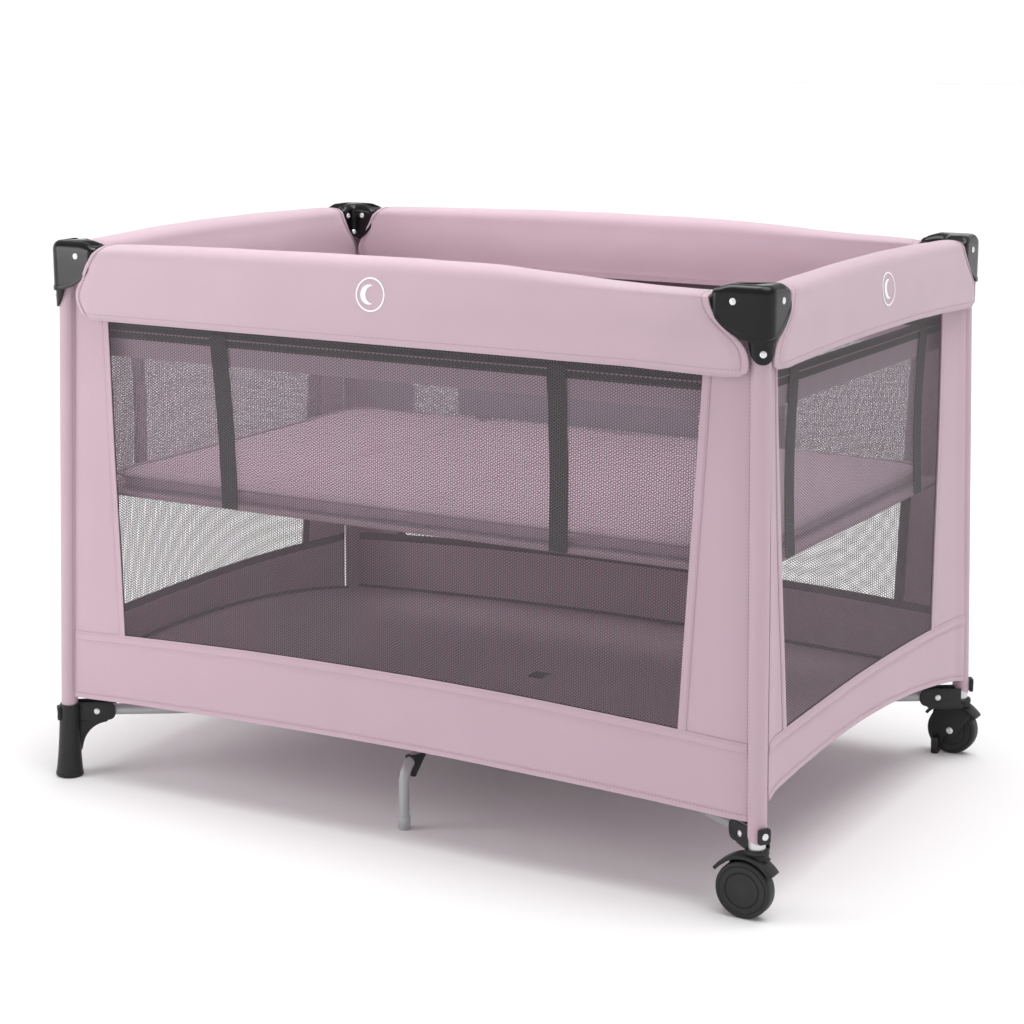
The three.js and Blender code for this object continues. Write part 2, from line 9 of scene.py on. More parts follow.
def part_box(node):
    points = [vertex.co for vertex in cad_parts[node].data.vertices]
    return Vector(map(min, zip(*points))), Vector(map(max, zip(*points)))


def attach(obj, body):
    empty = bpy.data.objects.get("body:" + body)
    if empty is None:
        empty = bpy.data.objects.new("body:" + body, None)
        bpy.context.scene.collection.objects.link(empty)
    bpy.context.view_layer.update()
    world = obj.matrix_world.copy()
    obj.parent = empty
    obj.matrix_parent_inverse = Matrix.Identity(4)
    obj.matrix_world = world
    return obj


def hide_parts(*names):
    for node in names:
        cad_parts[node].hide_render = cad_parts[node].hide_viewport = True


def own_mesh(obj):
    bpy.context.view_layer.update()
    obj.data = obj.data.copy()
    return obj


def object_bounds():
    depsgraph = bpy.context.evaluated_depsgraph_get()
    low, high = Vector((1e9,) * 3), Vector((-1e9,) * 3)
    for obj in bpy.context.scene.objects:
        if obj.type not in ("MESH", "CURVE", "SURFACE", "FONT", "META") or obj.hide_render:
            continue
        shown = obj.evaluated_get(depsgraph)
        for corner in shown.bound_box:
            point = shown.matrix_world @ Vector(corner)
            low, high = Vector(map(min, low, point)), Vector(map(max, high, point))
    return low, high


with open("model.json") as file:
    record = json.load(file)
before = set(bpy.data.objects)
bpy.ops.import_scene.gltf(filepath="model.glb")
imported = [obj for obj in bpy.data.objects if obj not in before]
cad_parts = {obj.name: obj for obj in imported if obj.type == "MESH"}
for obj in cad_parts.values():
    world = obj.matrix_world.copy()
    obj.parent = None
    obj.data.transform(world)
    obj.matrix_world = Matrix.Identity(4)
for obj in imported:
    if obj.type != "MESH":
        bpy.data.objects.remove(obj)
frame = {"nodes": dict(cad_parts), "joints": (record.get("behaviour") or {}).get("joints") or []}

# A folding playpen. Everything is in metres, in the CAD's frame: +X to the right of the long
# front, +Y to the back, +Z up.

CAD_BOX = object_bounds()
RIGHT = Vector((1, 0, 0))
BACK = Vector((0, 1, 0))
UP = Vector((0, 0, 1))

# ---------- places worked out from the frame ----------

CORNERS = ("front_left", "front_right", "rear_right", "rear_left")
WHEELED = ("front_right", "rear_right")
TOP = CAD_BOX[1][2]
RAIL_Z = sum(corner[2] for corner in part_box("rail_front_a")) / 2
TUBE_Z = sum(corner[2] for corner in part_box("lower_tube_front_left")) / 2
FLOOR_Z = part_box("pen_floor")[1][2]
CAP_LOW = TOP - 0.068
JOINT = {row["name"]: row for row in frame["joints"]}


def corners_of(node):
    """A CAD node's lowest and highest corner."""
    low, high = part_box(node)
    return Vector(low), Vector(high)


def end_of_post(corner, top):
    """The middle of a post's top or bottom ring."""
    points = [vertex.co for vertex in frame["nodes"][f"post_{corner}"].data.vertices]
    heights = [point.z for point in points]
    level = max(heights) if top else min(heights)
    ring = [point for point in points if abs(point.z - level) < 0.002]
    low = Vector([min(point[k] for point in ring) for k in range(3)])
    high = Vector([max(point[k] for point in ring) for k in range(3)])
    return (low + high) / 2


POSTS = {corner: (end_of_post(corner, False), end_of_post(corner, True)) for corner in CORNERS}


def post_at(corner, z):
    """The point of a post's axis at height z."""
    low, high = POSTS[corner]
    return low.lerp(high, (z - low.z) / (high.z - low.z))


class Side:
    """One side: s runs along it from its middle, z up, and d out of the plane of the posts."""

    def __init__(self, name, first, last, body, keep):
        self.name = name
        self.first = first
        self.last = last
        self.body = body
        run = post_at(last, RAIL_Z) - post_at(first, RAIL_Z)
        self.along = Vector([round(value) for value in run.normalized()])
        self.out = self.along.cross(UP)
        self.long = abs(self.along.x) > 0.5
        anchor = post_at(body.replace("corner_", ""), RAIL_Z)
        self.fold = dict(joint="fold", axis=tuple(self.along), anchor=tuple(anchor), keep=keep)

    def half(self, z):
        """Half the distance between the two posts' axes."""
        return (post_at(self.last, z) - post_at(self.first, z)).length / 2

    def at(self, s, z, d=0.0):
        middle = (post_at(self.first, z) + post_at(self.last, z)) / 2
        return middle + self.along * s + self.out * d


SIDES = (
    Side("front", "front_left", "front_right", "corner_front_left", 0.287),
    Side("right", "front_right", "rear_right", "corner_front_right", 0.311),
    Side("rear", "rear_right", "rear_left", "corner_rear_left", 0.287),
    Side("left", "rear_left", "front_left", "corner_front_left", 0.311),
)

# ---------- materials ----------


class Look:
    """A Principled material, with a short way to add nodes."""

    def __init__(self, name, **values):
        self.material = bpy.data.materials.new(name)
        self.material.use_nodes = True
        self.tree = self.material.node_tree
        self.shader = self.tree.nodes["Principled BSDF"]
        for socket, value in values.items():
            self.shader.inputs[socket.replace("_", " ")].default_value = value

    def node(self, kind, *inputs, **settings):
        made = self.tree.nodes.new("ShaderNode" + kind)
        for key, value in settings.items():
            setattr(made, key, value)
        for socket, value in zip(made.inputs, inputs):
            if isinstance(value, bpy.types.NodeSocket):
                self.tree.links.new(value, socket)
            elif value is not None:
                socket.default_value = value
        return made

    def maths(self, operation, a, b=0.0, c=0.0):
        return self.node("Math", a, b, c, operation=operation).outputs[0]

    def set(self, socket, value):
        self.tree.links.new(value, self.shader.inputs[socket])

    def place(self, output="Object"):
        return self.node("TexCoord").outputs[output]

    def noise(self, scale, detail=4.0, where=None):
        made = self.node("TexNoise", where or self.place())
        made.inputs["Scale"].default_value = scale
        made.inputs["Detail"].default_value = detail
        return made.outputs["Fac"]

    def mix(self, amount, first, second):
        return self.node("MixRGB", amount, first, second).outputs[0]

    def bump(self, height, distance):
        made = self.node("Bump")
        made.inputs["Strength"].default_value = 1.0
        made.inputs["Distance"].default_value = distance
        self.tree.links.new(height, made.inputs["Height"])
        self.set("Normal", made.outputs[0])


PLY_PITCH = 0.0012
NET_SOFTNESS = 0.25


def shade(colour, factor):
    """A colour made darker or brighter, as RGBA."""
    return tuple(min(1.0, value * factor) for value in colour) + (1.0,)


def wave(look, value, pitch):
    """-1 to 1 and back, once each pitch."""
    return look.maths("SINE", look.maths("MULTIPLY", value, 2 * math.pi / pitch))


def fabric(name, colour, thread=0.0011, roughness=0.78, relief=0.00025, sheen=0.25, cloud=0.05):
    """Plain weave: the threads read the UVs, which are in metres, and the shade drifts slowly."""
    look = Look(name, Roughness=roughness, Sheen_Weight=sheen, Sheen_Roughness=0.45)
    across = look.node("SeparateXYZ", look.place("UV"))
    warp = wave(look, across.outputs[0], thread)
    weft = wave(look, across.outputs[1], thread)
    weave = look.maths("MULTIPLY", warp, weft)
    drift = look.maths("ADD", look.noise(6.0, 3.0), look.maths("MULTIPLY", weave, 0.12))
    grain = look.maths("MULTIPLY_ADD", look.noise(900.0, 2.0), 0.3, drift)
    tint = look.maths("SUBTRACT", grain, 0.15, 0.0)
    look.set("Base Color", look.mix(tint, shade(colour, 1 - cloud), shade(colour, 1 + cloud)))
    threads = look.maths("MULTIPLY", weave, 0.5)
    creases = look.maths("MULTIPLY_ADD", look.noise(55.0, 5.0), 0.6, threads)
    look.bump(creases, relief)
    return look.material


def net(name, colour, hole, pitch=0.0037, turned=0.0):
    """Knitted mesh: round holes in a close triangular lattice, with yarn between them."""
    look = Look(name, Roughness=0.7, Sheen_Weight=0.15)
    across = look.node("SeparateXYZ", look.place("UV"))
    u, v = across.outputs[0], across.outputs[1]
    step = pitch * math.sqrt(3) / 2
    total = None
    for turn in range(3):
        angle = turned + turn * math.pi / 3
        run = look.maths("MULTIPLY", v, math.sin(angle))
        run = look.maths("MULTIPLY_ADD", u, math.cos(angle), run)
        ripple = look.maths("COSINE", look.maths("MULTIPLY", run, 2 * math.pi / step))
        total = ripple if total is None else look.maths("ADD", total, ripple)
    yarn = look.maths("SUBTRACT", hole + NET_SOFTNESS, total)
    yarn = look.maths("DIVIDE", yarn, 2 * NET_SOFTNESS)
    yarn = look.node("Clamp", yarn).outputs[0]
    look.set("Alpha", yarn)
    drift = look.noise(30.0, 3.0)
    look.set("Base Color", look.mix(drift, shade(colour, 0.8), shade(colour, 1.2)))
    look.bump(look.maths("MULTIPLY", total, -0.3), 0.0003)
    return look.material


def plastic(name, colour, roughness, relief=0.00006, scale=700.0, coat=0.0):
    """Moulded plastic: fine grain, small changes of gloss, and paler, duller edges."""
    look = Look(name, Coat_Weight=coat, Coat_Roughness=0.08, Specular_IOR_Level=0.3)
    edge = look.node("NewGeometry").outputs["Pointiness"]
    worn = look.node("Clamp", look.maths("MULTIPLY_ADD", edge, 9.0, -4.9)).outputs[0]
    drift = look.noise(14.0, 5.0)
    base = look.mix(drift, shade(colour, 0.85), shade(colour, 1.15))
    look.set("Base Color", look.mix(worn, base, shade(colour, 2.2)))
    rough = look.maths("MULTIPLY_ADD", look.noise(120.0, 3.0), 0.14, roughness - 0.07)
    look.set("Roughness", look.maths("MULTIPLY_ADD", worn, 0.1, rough))
    look.bump(look.noise(scale, 2.0), relief)
    return look.material


def metal(name, colour, roughness, metallic):
    """Tube stock: painted or plated, with drawing marks and slight mottling."""
    look = Look(name, Metallic=metallic)
    stretched = look.node("Mapping", look.place())
    stretched.inputs["Scale"].default_value = (1.0, 1.0, 0.12)
    streaks = look.noise(160.0, 4.0, stretched.outputs[0])
    base = look.mix(streaks, shade(colour, 0.88), shade(colour, 1.1))
    edge = look.node("NewGeometry").outputs["Pointiness"]
    worn = look.node("Clamp", look.maths("MULTIPLY_ADD", edge, 7.0, -3.8)).outputs[0]
    look.set("Base Color", look.mix(worn, base, shade(colour, 1.3)))
    look.set("Roughness", look.maths("MULTIPLY_ADD", streaks, 0.16, roughness - 0.08))
    look.bump(look.noise(400.0, 3.0), 0.00003)
    return look.material


def twisted(name, colour):
    """Thread and cord: a ply that winds round, read from the object's own coordinates."""
    look = Look(name, Roughness=0.65, Sheen_Weight=0.2)
    place = look.node("SeparateXYZ", look.place())
    run = look.maths("ADD", look.maths("ADD", place.outputs[0], place.outputs[1]), place.outputs[2])
    ply = look.maths("MULTIPLY_ADD", wave(look, run, PLY_PITCH), 0.5, 0.5)
    look.set("Base Color", look.mix(ply, shade(colour, 0.82), shade(colour, 1.1)))
    look.bump(ply, 0.0001)
    return look.material


PINK = (0.575, 0.412, 0.480)
ROLL_PINK = (0.585, 0.425, 0.490)
MAUVE = (0.40, 0.27, 0.32)
RAIL_CLOTH = fabric("rail_cloth", ROLL_PINK, roughness=0.7, sheen=0.35)
WALL_CLOTH = fabric("wall_cloth", PINK, thread=0.0010)
FLOOR_CLOTH = fabric("floor_cloth", (0.60, 0.42, 0.50), thread=0.0014, relief=0.0004)
PAD_CLOTH = fabric("pad_cloth", (0.50, 0.355, 0.42), thread=0.0013, relief=0.0004, cloud=0.07)
VEIL_CLOTH = fabric("veil_cloth", (0.46, 0.34, 0.41), thread=0.0012)
POCKET_CLOTH = fabric("pocket_cloth", (0.33, 0.30, 0.34), thread=0.0012)
WEBBING = fabric("webbing", (0.035, 0.037, 0.036), thread=0.0024, relief=0.0005, sheen=0.1)
PIPING = fabric("piping_cloth", MAUVE, thread=0.0009)
DARK_TAPE = fabric("dark_tape", (0.10, 0.065, 0.08), thread=0.0012)
MESH = net("window_net", (0.115, 0.092, 0.106), hole=-0.70)
INNER_MESH = net("insert_net", (0.38, 0.285, 0.35), pitch=0.0029, hole=-0.45, turned=math.pi / 6)
BLACK_GLOSS = plastic("gloss_plastic", (0.004, 0.004, 0.0045), 0.24, coat=0.04)
BLACK_MATT = plastic("matt_plastic", (0.016, 0.016, 0.017), 0.42, relief=0.00012)
WHEEL_BLACK = plastic("wheel_plastic", (0.022, 0.022, 0.023), 0.5, relief=0.00015)
GREY_BUTTON = plastic("button_plastic", (0.35, 0.35, 0.36), 0.4)
STEEL = metal("plated_steel", (0.62, 0.63, 0.64), 0.3, 0.85)
GREY_PAINT = metal("grey_paint", (0.40, 0.40, 0.412), 0.42, 0.25)
RIVET_METAL = metal("rivet_metal", (0.80, 0.80, 0.82), 0.3, 0.6)
THREAD = twisted("pink_thread", (0.46, 0.32, 0.385))
DARK_THREAD = twisted("mauve_thread", (0.22, 0.15, 0.185))
PRINT = plastic("white_print", (0.86, 0.83, 0.85), 0.6, relief=0.00008, scale=1500.0)

# ---------- mesh tools ----------

SHARP = math.radians(46)


def new_piece(name, points, faces, material, corner_uvs=None):
    mesh = bpy.data.meshes.new(name)
    mesh.from_pydata([tuple(point) for point in points], [], faces)
    if corner_uvs:
        layer = mesh.uv_layers.new(name="metres")
        for loop, uv in zip(layer.data, corner_uvs):
            loop.uv = uv
    mesh.materials.append(material)
    mesh.polygons.foreach_set("use_smooth", [True] * len(mesh.polygons))
    made = bpy.data.objects.new(name, mesh)
    bpy.context.collection.objects.link(made)
    return made


def lengths(points):
    """Distance run along a line of points, at each point."""
    run = [0.0]
    for before, after in zip(points, points[1:]):
        run.append(run[-1] + (after - before).length)
    return run


def cloth(name, rows, material, flat=None, closed=False):
    """A surface through rows of points. flat holds (u, v) in metres for each point, and is
    otherwise measured along the middle row and column."""
    width = len(rows[0])
    if flat is None:
        middle = rows[len(rows) // 2]
        across = lengths(middle + middle[:1] if closed else middle)
        up = lengths([row[width // 2] for row in rows])
        flat = [[(u, v) for u in across] for v in up]
    faces = []
    uvs = []
    for j in range(len(rows) - 1):
        for i in range(width if closed else width - 1):
            nxt = (i + 1) % width
            faces.append((j * width + i, j * width + nxt, (j + 1) * width + nxt, (j + 1) * width + i))
            uvs += [flat[j][i], flat[j][i + 1], flat[j + 1][i + 1], flat[j + 1][i]]
    points = [point for row in rows for point in row]
    return new_piece(name, points, faces, material, uvs)


def steps(low, high, count):
    return [low + (high - low) * i / count for i in range(count + 1)]


def settle():
    """Makes Blender take in what was changed since the last call."""
    bpy.context.view_layer.update()


def apply_modifiers(piece):
    settle()
    shown = bpy.data.meshes.new_from_object(piece.evaluated_get(bpy.context.evaluated_depsgraph_get()))
    piece.modifiers.clear()
    piece.data = shown
    piece.data.set_sharp_from_angle(angle=SHARP)


def thicken(piece, thickness, offset=-1.0):
    made = piece.modifiers.new("cloth_thickness", "SOLIDIFY")
    made.thickness = thickness
    made.offset = offset
    apply_modifiers(piece)
    return piece


def round_edges(piece, width, segments):
    made = piece.modifiers.new("rounded_edges", "BEVEL")
    made.width = width
    made.segments = segments
    made.limit_method = "ANGLE"
    made.angle_limit = math.radians(35)


def soften(piece, width, segments=3):
    """Rounded edges on a moulded piece."""
    round_edges(piece, width, segments)
    apply_modifiers(piece)
    return piece


def frames_along(path):
    """Two directions across the path at each of its points, without twist."""
    result = []
    side = None
    for i in range(len(path)):
        run = (path[min(i + 1, len(path) - 1)] - path[max(i - 1, 0)]).normalized()
        if side is None:
            side = run.orthogonal().normalized()
        side = (side - run * side.dot(run)).normalized()
        result.append((side, run.cross(side)))
    return result


def tube(name, path, radius, material, sides=28):
    """A round bar along a path, with rounded ends."""
    first = (path[0] - path[1]).normalized()
    last = (path[-1] - path[-2]).normalized()
    rounds = [(math.cos(a), math.sin(a)) for a in steps(0.15, math.pi / 2, 4)]
    rim = radius * 0.35
    starts = [path[0] + first * rim * c - first * rim for c, _ in rounds]
    ends = [path[-1] + last * rim * c - last * rim for c, _ in reversed(rounds)]
    end_radii = [radius - rim + rim * w for _, w in rounds]
    radii = end_radii + [radius] * (len(path) - 2) + end_radii[::-1]
    path = starts + path[1:-1] + ends
    rows = []
    for point, size, (side, other) in zip(path, radii, frames_along(path)):
        rows.append([
            point + (side * math.cos(angle) + other * math.sin(angle)) * size
            for angle in ring_of(sides)])
    made = cloth(name, rows, material, closed=True)
    last_ring = (len(rows) - 1) * sides
    add_faces(made, [list(range(sides))[::-1], list(range(last_ring, last_ring + sides))])
    return made


def ring_of(sides):
    """The angles of a ring's points."""
    return [2 * math.pi * i / sides for i in range(sides)]


def mount(body, *pairs):
    """Makes the piece of each (piece, slot) pair ride on a body; the slot is not used."""
    for piece, slot in pairs:
        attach(piece, body)


def add_faces(piece, loops):
    """Closes a mesh with flat faces over the given loops of vertices."""
    mesh = bmesh.new()
    mesh.from_mesh(piece.data)
    mesh.verts.ensure_lookup_table()
    for loop in loops:
        face = mesh.faces.new([mesh.verts[i] for i in loop])
        face.smooth = False
    bmesh.ops.recalc_face_normals(mesh, faces=mesh.faces)
    mesh.to_mesh(piece.data)
    mesh.free()


def lathe(name, profile, base, axis, material, sides=48):
    """profile is (radius, height) from the bottom of the axis to its top."""
    turn = axis.normalized()
    side = turn.orthogonal().normalized()
    other = turn.cross(side)
    rows = []
    for radius, height in profile:
        reach = max(radius, 1e-5)
        rows.append([
            base + turn * height + (side * math.cos(angle) + other * math.sin(angle)) * reach
            for angle in ring_of(sides)])
    made = cloth(name, rows, material, closed=True)
    mend(made)
    return made


def mend(piece, reach=5e-5):
    """Joins vertices that lie on each other and turns the faces outwards."""
    mesh = bmesh.new()
    mesh.from_mesh(piece.data)
    bmesh.ops.remove_doubles(mesh, verts=mesh.verts, dist=reach)
    bmesh.ops.recalc_face_normals(mesh, faces=mesh.faces)
    mesh.to_mesh(piece.data)
    mesh.free()
    piece.data.set_sharp_from_angle(angle=SHARP)


def slab(name, outline, normal, thickness, material, edge=0.0):
    """An outline of points in a plane, thickened half to each side, with rounded edges."""
    push = normal.normalized() * thickness / 2
    count = len(outline)
    points = [point - push for point in outline] + [point + push for point in outline]
    faces = [tuple(reversed(range(count))), tuple(range(count, 2 * count))]
    for i in range(count):
        nxt = (i + 1) % count
        faces.append((i, nxt, count + nxt, count + i))
    made = new_piece(name, points, faces, material)
    mend(made, 1e-6)
    if edge:
        soften(made, edge, 2)
    return made


def join(name, pieces):
    """One piece from several, with their modifiers applied."""
    settle()
    depsgraph = bpy.context.evaluated_depsgraph_get()
    mesh = bmesh.new()
    materials = []
    for piece in pieces:
        shown = bpy.data.meshes.new_from_object(piece.evaluated_get(depsgraph))
        if shown.materials[0] not in materials:
            materials.append(shown.materials[0])
        index = materials.index(shown.materials[0])
        shown.polygons.foreach_set("material_index", [index] * len(shown.polygons))
        mesh.from_mesh(shown)
        bpy.data.meshes.remove(shown)
        bpy.data.objects.remove(piece)
    merged = bpy.data.meshes.new(name)
    mesh.to_mesh(merged)
    mesh.free()
    for material in materials:
        merged.materials.append(material)
    made = bpy.data.objects.new(name, merged)
    bpy.context.collection.objects.link(made)
    return made


# ---------- small parts that repeat ----------

STITCH = 0.0032
STITCH_STEP = 0.0047
STITCH_WIDTH = 0.0005


def stitch_mesh(name, runs, material):
    """Rows of stitches. Each run is a line of (point, normal) pairs that lies on the cloth."""
    points = []
    faces = []
    for run in runs:
        path = [point for point, _ in run]
        along = lengths(path)
        count = max(1, int(along[-1] / STITCH_STEP))
        k = 0
        for i in range(count):
            middle = (i + 0.5) * along[-1] / count
            while k < len(path) - 2 and along[k + 1] < middle:
                k += 1
            share = (middle - along[k]) / max(along[k + 1] - along[k], 1e-9)
            centre = path[k].lerp(path[k + 1], share)
            normal = run[k][1].lerp(run[k + 1][1], share).normalized()
            direction = (path[k + 1] - path[k]).normalized()
            across = direction.cross(normal).normalized() * STITCH_WIDTH
            lift = normal * STITCH_WIDTH
            start = len(points)
            points += [
                centre - direction * STITCH / 2 - lift * 0.3,
                centre + across,
                centre + lift,
                centre - across,
                centre - lift * 0.5,
                centre + direction * STITCH / 2 - lift * 0.3,
            ]
            for a in range(4):
                b = (a + 1) % 4
                faces.append((start, start + 1 + a, start + 1 + b))
                faces.append((start + 5, start + 1 + b, start + 1 + a))
    return new_piece(name, points, faces, material)


def rivet(centre, normal, radius=0.0042):
    """A domed rivet head with a dimple."""
    rise = 0.0016
    profile = [(0, rise * 0.55), (radius * 0.3, rise * 0.6), (radius * 0.42, rise)]
    profile += [(radius * math.cos(a), rise * math.sin(a)) for a in steps(0.9, 0.0, 4)]
    profile += [(radius, -0.001), (0, -0.001)]
    return lathe("rivet", profile, centre, normal, RIVET_METAL, sides=20)


def line_steps(start, end, count):
    return [start.lerp(end, i / count) for i in range(count + 1)]


def arc(centre, side, up, radius, start, end, count):
    """Points of a circle in the plane of side and up, angles in degrees."""
    angles = [math.radians(a) for a in steps(start, end, count)]
    return [centre + (side * math.cos(a) + up * math.sin(a)) * radius for a in angles]


def smooth(value, low, high):
    """0 below low, 1 above high, and an S between them."""
    t = min(1.0, max(0.0, (value - low) / (high - low)))
    return t * t * (3 - 2 * t)


def ripple(point, scale, size):
    """Slow unevenness of cloth, the same in each run."""
    return noise.noise(point * scale) * size


# ---------- camera, floor and light ----------

CAMERA_AT = Vector((1.6016, -2.8038, 1.0776))
LOOKS_ALONG = Vector((-0.488295, 0.846209, -0.213304))
LENS = 82.41


def add_camera():
    data = bpy.data.cameras.new("camera")
    data.lens = LENS
    data.sensor_width = 36.0
    camera = bpy.data.objects.new("camera", data)
    camera.location = CAMERA_AT
    camera.rotation_euler = LOOKS_ALONG.to_track_quat("-Z", "Y").to_euler()
    bpy.context.collection.objects.link(camera)
    bpy.context.scene.camera = camera


def studio_ring(radius, z):
    """A wide level ring of 64 points round the part."""
    return arc(UP * z, RIGHT, BACK, radius, 0, 360 - 360 / 64, 63)


def add_floor():
    look = Look("studio_floor", Roughness=0.85, Specular_IOR_Level=0.2)
    look.set("Base Color", look.mix(look.noise(1.5), (0.90, 0.90, 0.90, 1), (0.93, 0.93, 0.93, 1)))
    rim = studio_ring(30.0, 0)
    floor = new_piece("studio_floor", rim, [tuple(range(len(rim)))], look.material)


def add_light(name, place, target, size, power):
    data = bpy.data.lights.new(name, "AREA")
    data.shape = "DISK"
    data.size = size
    data.energy = power
    lamp = bpy.data.objects.new(name, data)
    lamp.location = place
    lamp.rotation_euler = (Vector(target) - Vector(place)).to_track_quat("-Z", "Y").to_euler()
    bpy.context.collection.objects.link(lamp)


def add_sun(direction, strength, softness):
    data = bpy.data.lights.new("overhead", "SUN")
    data.energy = strength
    data.angle = softness
    lamp = bpy.data.objects.new("overhead", data)
    lamp.rotation_euler = (-Vector(direction)).to_track_quat("-Z", "Y").to_euler()
    bpy.context.collection.objects.link(lamp)


def add_backdrop():
    """A bright round wall far off, so that the studio has no horizon."""
    look = Look("studio_backdrop", Base_Color=(0.9, 0.9, 0.9, 1), Emission_Strength=0.25)
    look.shader.inputs["Emission Color"].default_value = (1, 1, 1, 1)
    rows = [studio_ring(29.0, z) for z in (-0.05, 9.0)]
    cloth("studio_backdrop", rows, look.material, closed=True)


def add_studio():
    world = bpy.data.worlds.new("studio")
    world.use_nodes = True
    world.node_tree.nodes["Background"].inputs["Color"].default_value = (1, 1, 1, 1)
    world.node_tree.nodes["Background"].inputs["Strength"].default_value = 0.50
    bpy.context.scene.world = world
    bpy.context.scene.view_settings.view_transform = "Standard"
    add_backdrop()
    add_sun((0.2, 0.1, 1.0), 2.0, math.radians(50))
    add_light("fill", (-1.3, -1.4, 0.9), (-0.4, -0.3, 0.45), 0.9, 8)
    add_light("top", (-0.1, -0.15, 1.75), (0.0, 0.3, 0.7), 0.8, 9)


# ---------- walls ----------

BAND_LOW = 0.118
BAND_TOP = 0.213
WALL_TOP = 0.703
WALL_OUT = 0.0045
SEAM_FROM_POST = 0.0115
WALL_ROWS = 18
WALL_THICK = 0.0011
TAPE_THICK = 0.0008
INNER_TAPE_THICK = 0.0006


def band_low(side, s):
    """The outer band's lower edge, which arches up between the posts."""
    if side.long:
        return BAND_LOW + 0.014 * (1 - (s / side.half(BAND_LOW)) ** 2)
    return BAND_LOW + 0.044 - 0.25 * (s * side.along.y + 0.080) ** 2


def band_top(side, s):
    """The outer band's upper edge, which rises between the posts too."""
    rise = 0.017 if side.long else 0.013
    return BAND_TOP + rise * (1 - (s / side.half(BAND_TOP)) ** 2)


def window_inset(side, z, sign):
    """From a post's axis to the window's edge. On the short sides the front edge sits closer."""
    if side.long:
        return 0.072 + (0.650 - z) * 0.071
    front = sign * side.along.y < 0
    return (0.031 if front else 0.098) + (0.656 - z) * 0.088


def wall_out(side, s, z):
    """How far the wall's cloth stands out: it is tight at the posts and eases between them."""
    reach = side.half(z) - SEAM_FROM_POST
    ease = 1 - min(1.0, abs(s) / reach) ** 2
    point = side.at(s, z)
    near = 1 - smooth(reach - abs(s), 0.0, 0.03)
    wrap = -0.0025 if side.long else 0.0045
    slow = ripple(point, 5.0, 0.0016)
    fine = ripple(Vector((s * 30, z * 5, 0)), 1.0, 0.0004)
    return WALL_OUT + 0.002 * ease + wrap * near + slow + fine


def wall_point(side, s, z, lift=0.0):
    return side.at(s, z, wall_out(side, s, z) + lift)


def wall_patch(name, side, edges, heights, columns, lift, material, thick=WALL_THICK):
    """A patch of wall: edges(z) gives (s from, s to) at a height, and heights(s) gives
    (z from, z to)."""
    rows = []
    flat = []
    for share in steps(0.0, 1.0, WALL_ROWS):
        row = []
        uvs = []
        for across in steps(0.0, 1.0, columns):
            low, high = heights(0.0)
            guess = low + (high - low) * share
            left, right = edges(guess)
            s = left + (right - left) * across
            low, high = heights(s)
            z = low + (high - low) * share
            left, right = edges(z)
            s = left + (right - left) * across
            row.append(wall_point(side, s, z, lift))
            uvs.append((s, z))
        rows.append(row)
        flat.append(uvs)
    piece = cloth(name, rows, material, flat)
    if thick:
        thicken(piece, thick)
    return piece


def declare_sheet():
    settle()


def fold_with(side, piece):
    """The piece rides on its side's corner body, with a mesh of its own."""
    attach(piece, side.body)
    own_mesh(piece)


def from_post_to_post(side, gap):
    """Edges of a patch that stops short of both posts' seams by a gap."""
    def edges(z):
        reach = side.half(z) - SEAM_FROM_POST
        return (-reach + gap, reach - gap)
    return edges


def window_edge(side, z, sign):
    """Distance from the wall's middle to the window's edge near the post at that end."""
    return side.half(z) - window_inset(side, z, sign)


def beside_window(side, sign, inner, outer):
    """Edges of a strip along the window, from inner to outer past the window's edge."""
    def edges(z):
        edge = window_edge(side, z, sign)
        return tuple(sorted([sign * (edge + inner), sign * (edge + outer)]))
    return edges


def along_band(side, edge, low, high):
    """Heights of a strip that follows the band's edge, from low to high above it."""
    return lambda s: (edge(side, s) + low, edge(side, s) + high)


def up_to_rail(side, under):
    """Heights from a little under the band's top edge to the rail."""
    return lambda s: (band_top(side, s) - under, WALL_TOP)


def add_window_ends(side):
    """Side panels, bindings and inner tapes at the window's two ends."""
    panels = []
    bindings = []
    tapes = []
    for sign, end in ((-1, "start"), (1, "end")):
        place = f"{side.name}_{end}"

        def panel_edges(z, sign=sign):
            reach = side.half(z) - SEAM_FROM_POST
            return tuple(sorted([sign * reach, sign * window_edge(side, z, sign)]))

        panels.append(wall_patch(
            f"side_panel_{place}", side, panel_edges,
            up_to_rail(side, 0.004), 14, -0.0004, WALL_CLOTH))
        bindings.append(wall_patch(
            f"window_binding_{place}", side, beside_window(side, sign, -0.0004, 0.0105),
            up_to_rail(side, 0.001), 4, 0.0006, WALL_CLOTH, TAPE_THICK))
        tapes.append(wall_patch(
            f"window_inner_tape_{place}", side, beside_window(side, sign, -0.0006, 0.014),
            up_to_rail(side, 0.006), 4, -0.0024, DARK_TAPE, INNER_TAPE_THICK))
    return panels, bindings, tapes


def add_wall_stitches(side):
    """Two rows on the band's hem, one beside each binding, and one on the band's foot."""
    reach = side.half(BAND_TOP) - SEAM_FROM_POST - 0.004

    def level_run(edge, above, lift):
        return [
            (wall_point(side, s, edge(side, s) + above, lift), side.out)
            for s in steps(-reach, reach, 110)]

    runs = [level_run(band_top, -0.0025, 0.0010), level_run(band_top, -0.0115, 0.0010)]
    for sign in (-1, 1):
        run = []
        for z in steps(BAND_TOP + 0.004, WALL_TOP - 0.03, 60):
            s = sign * (window_edge(side, z, sign) + 0.0085)
            run.append((wall_point(side, s, z, 0.0008), side.out))
        runs.append(run)
    stitches = stitch_mesh(f"wall_stitches_{side.name}", runs, THREAD)
    foot_run = level_run(band_low, 0.0062, 0.0009)
    return stitches, stitch_mesh(f"band_foot_stitches_{side.name}", [foot_run], DARK_THREAD)


